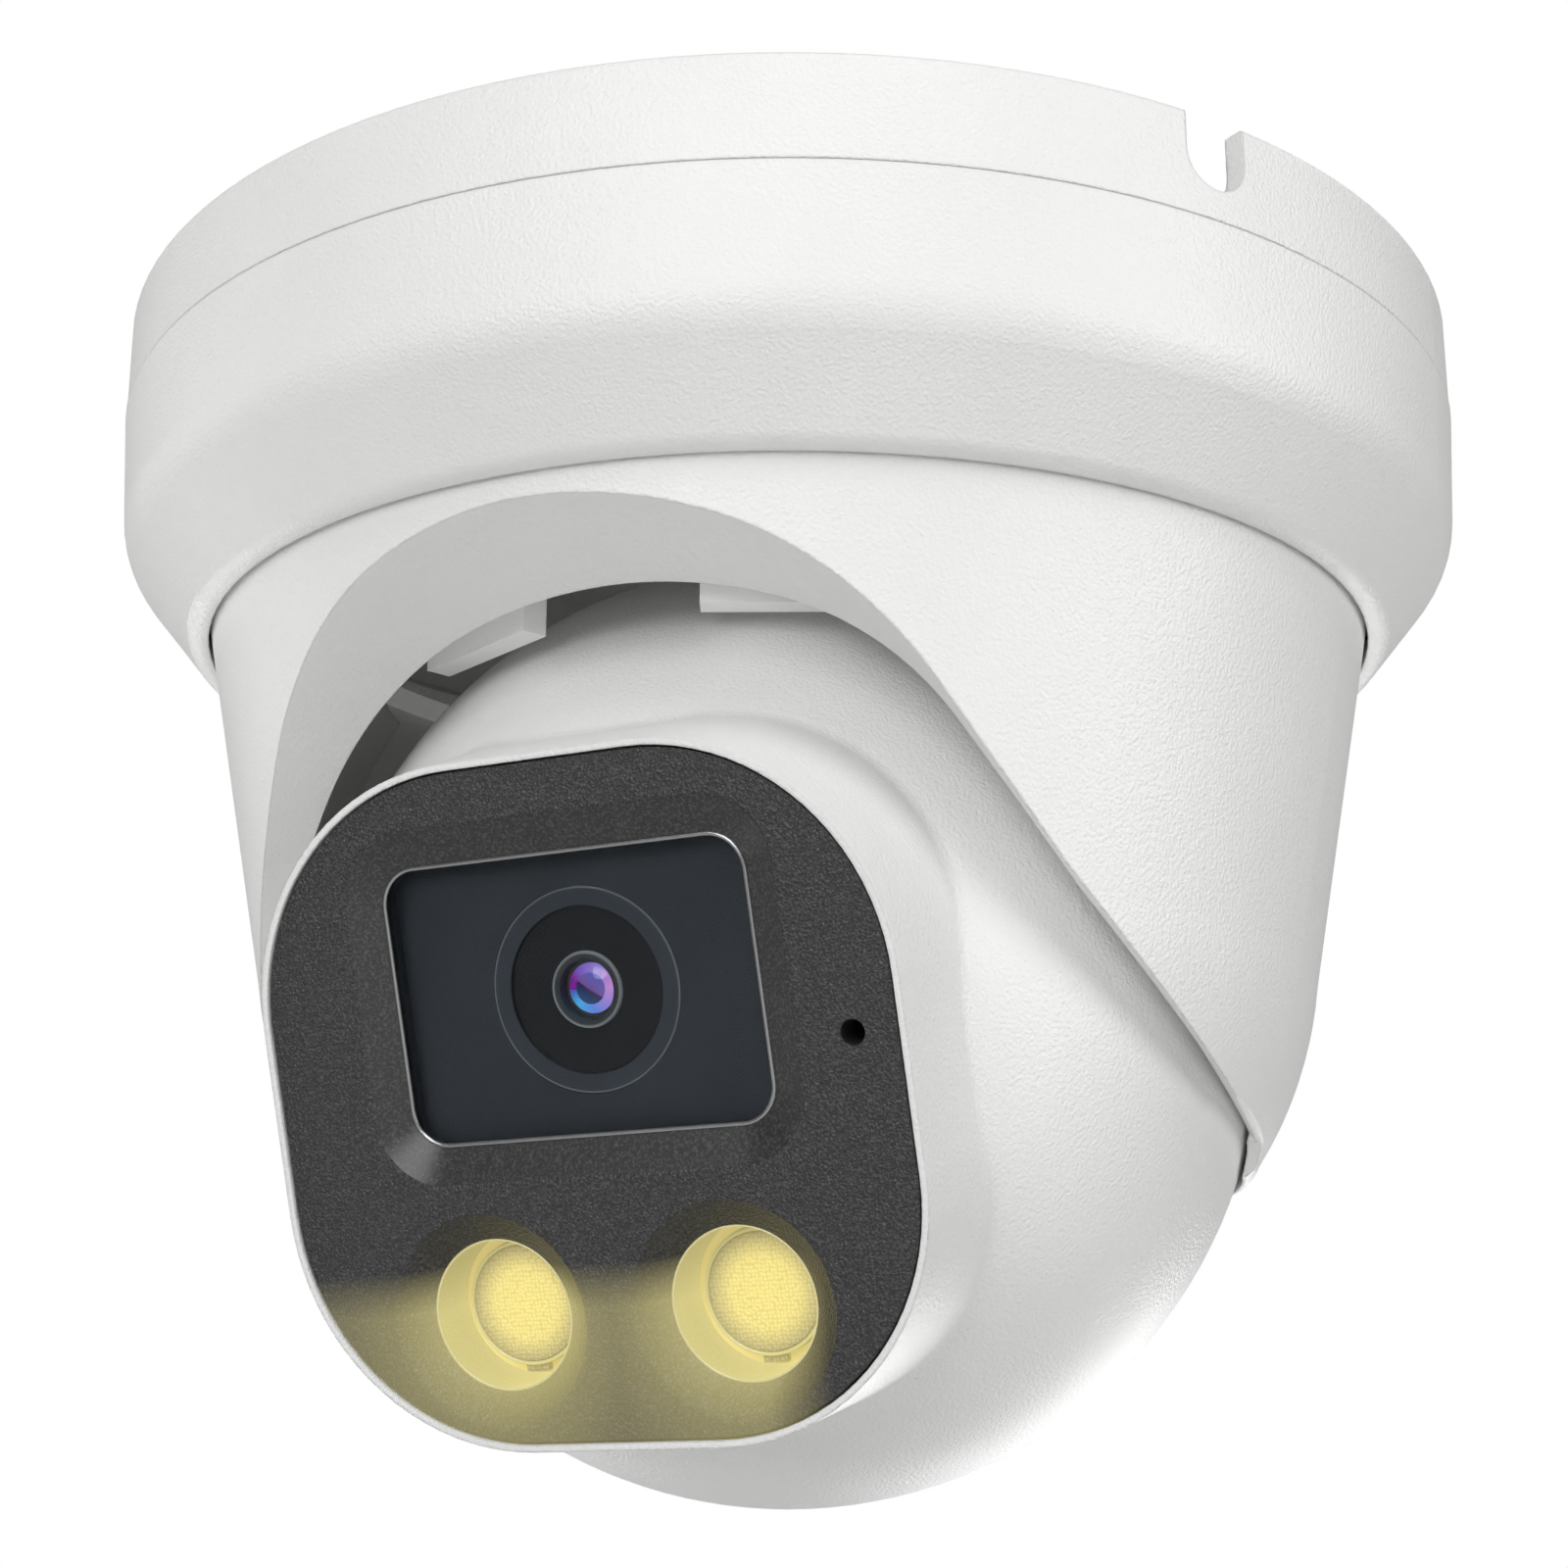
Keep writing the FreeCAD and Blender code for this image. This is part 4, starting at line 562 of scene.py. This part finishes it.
WINDOW_EDGE_THICK = 0.2 * MM
LAMP_MOUTH_THICK = 0.08 * MM
LAMP_RIM_THICK = 0.16 * MM
edge_bead("window_edge", rounded_path(*WINDOW_HALF, WINDOW_CORNER), (0.0, LENS_RISE), BEVEL_FLOOR,
          WINDOW_EDGE_THICK, glossy_edge(), "face_panel")
rim_finish = clear_edge()
for side_name, side in (("left", -1), ("right", 1)):
    lamp_axis = (side * LAMP_OFFSET, LAMP_RISE)
    edge_bead("lamp_mouth_" + side_name, circle_path(LAMP_TUBE), lamp_axis, CONE_FLOOR,
              LAMP_MOUTH_THICK, rim_finish, "face_panel")
    edge_bead("lamp_rim_" + side_name, circle_path(COLLIMATOR_RADIUS), lamp_axis, COLLIMATOR_RIM,
              LAMP_RIM_THICK, rim_finish, "led_optics")


# ---------------------------------------------------------------- studio

def softbox(name, azimuth, elevation, distance, size, power, aim):
    """A round area lamp seen from aim at that azimuth (0 is -Y, 90 is +X) and elevation."""
    lamp = bpy.data.lights.new(name, "AREA")
    lamp.shape = "DISK"
    lamp.size = size
    lamp.energy = power
    lamp_object = bpy.data.objects.new(name, lamp)
    bpy.context.scene.collection.objects.link(lamp_object)
    turn, rise = math.radians(azimuth), math.radians(elevation)
    away = Vector((math.sin(turn) * math.cos(rise), -math.cos(turn) * math.cos(rise), math.sin(rise)))
    lamp_object.location = aim + away * distance
    lamp_object.rotation_mode = "QUATERNION"
    lamp_object.rotation_quaternion = away.to_track_quat("Z", "Y")


def studio_world(ambient, backdrop):
    """Pale surround: dimmer as light than as the white that shows behind the object."""
    world = bpy.data.worlds.new("studio")
    bpy.context.scene.world = world
    world.use_nodes = True
    tree = world.node_tree
    background = tree.nodes["Background"]
    background.inputs["Color"].default_value = (1.0, 1.0, 1.0, 1.0)
    seen = tree.nodes.new("ShaderNodeLightPath").outputs["Is Camera Ray"]
    strength = tree.nodes.new("ShaderNodeMapRange")
    tree.links.new(seen, strength.inputs["Value"])
    strength.inputs["To Min"].default_value = ambient
    strength.inputs["To Max"].default_value = backdrop
    tree.links.new(strength.outputs["Result"], background.inputs["Strength"])


def pale_floor(height, half_width):
    """Wide matt floor under the object."""
    floor = bpy.data.meshes.new("floor")
    form = bmesh.new()
    bmesh.ops.create_grid(form, x_segments=2, y_segments=2, size=half_width)
    form.to_mesh(floor)
    form.free()
    floor_object = bpy.data.objects.new("floor", floor)
    floor_object.location.z = height
    bpy.context.scene.collection.objects.link(floor_object)
    finish = Finish("floor_paint", (0.8, 0.8, 0.8), 0.7)
    finish.vary_roughness(finish.noise(40 * MM), 0.6, 0.75)
    floor.materials.append(finish.material)


LOW, HIGH = cad_box
MIDDLE = (LOW + HIGH) / 2
LAMP_AWAY = 1.0
LAMP_SIZE = 0.6
AMBIENT = 0.18
BACKDROP = 1.0
FLOOR_DROP = 0.4
FLOOR_HALF = 4.0
LAMPS = {
    # name: azimuth, elevation, power; all are wide discs a metre away
    "front": (0, 10, 4.2),
    "right": (90, 10, 3.4),
    "key_high": (30, 45, 2.7),
    "left": (-90, 10, 1.4),
    "back_low": (180, -25, 4.0),
    "left_back_low": (-120, -25, 3.9),
    "front_low": (30, -25, 0.75),
    "left_low": (-90, -25, 0.7),
}
for lamp_name, (azimuth, elevation, power) in LAMPS.items():
    softbox(lamp_name, azimuth, elevation, LAMP_AWAY, LAMP_SIZE, power, MIDDLE)
studio_world(AMBIENT, BACKDROP)
pale_floor(LOW.z - FLOOR_DROP, FLOOR_HALF)

# the camera stands lower than the object, on its +X side, and looks up at it; lens in millimetres
VIEW_FROM = (0.10227, -0.22651, -0.11365)
VIEW_UP = math.radians(16.5)
VIEW_LEFT = math.radians(24.3)
FOCAL_LENGTH = 63.0
SIDE_SHIFT = -0.0027
view = bpy.data.cameras.new("view")
view.lens = FOCAL_LENGTH
view.shift_x = SIDE_SHIFT
view_object = bpy.data.objects.new("view", view)
view_object.location = VIEW_FROM
view_object.rotation_euler = (math.pi / 2 + VIEW_UP, 0.0, VIEW_LEFT)
bpy.context.scene.collection.objects.link(view_object)
bpy.context.scene.camera = view_object
bpy.context.scene.view_settings.view_transform = "Standard"
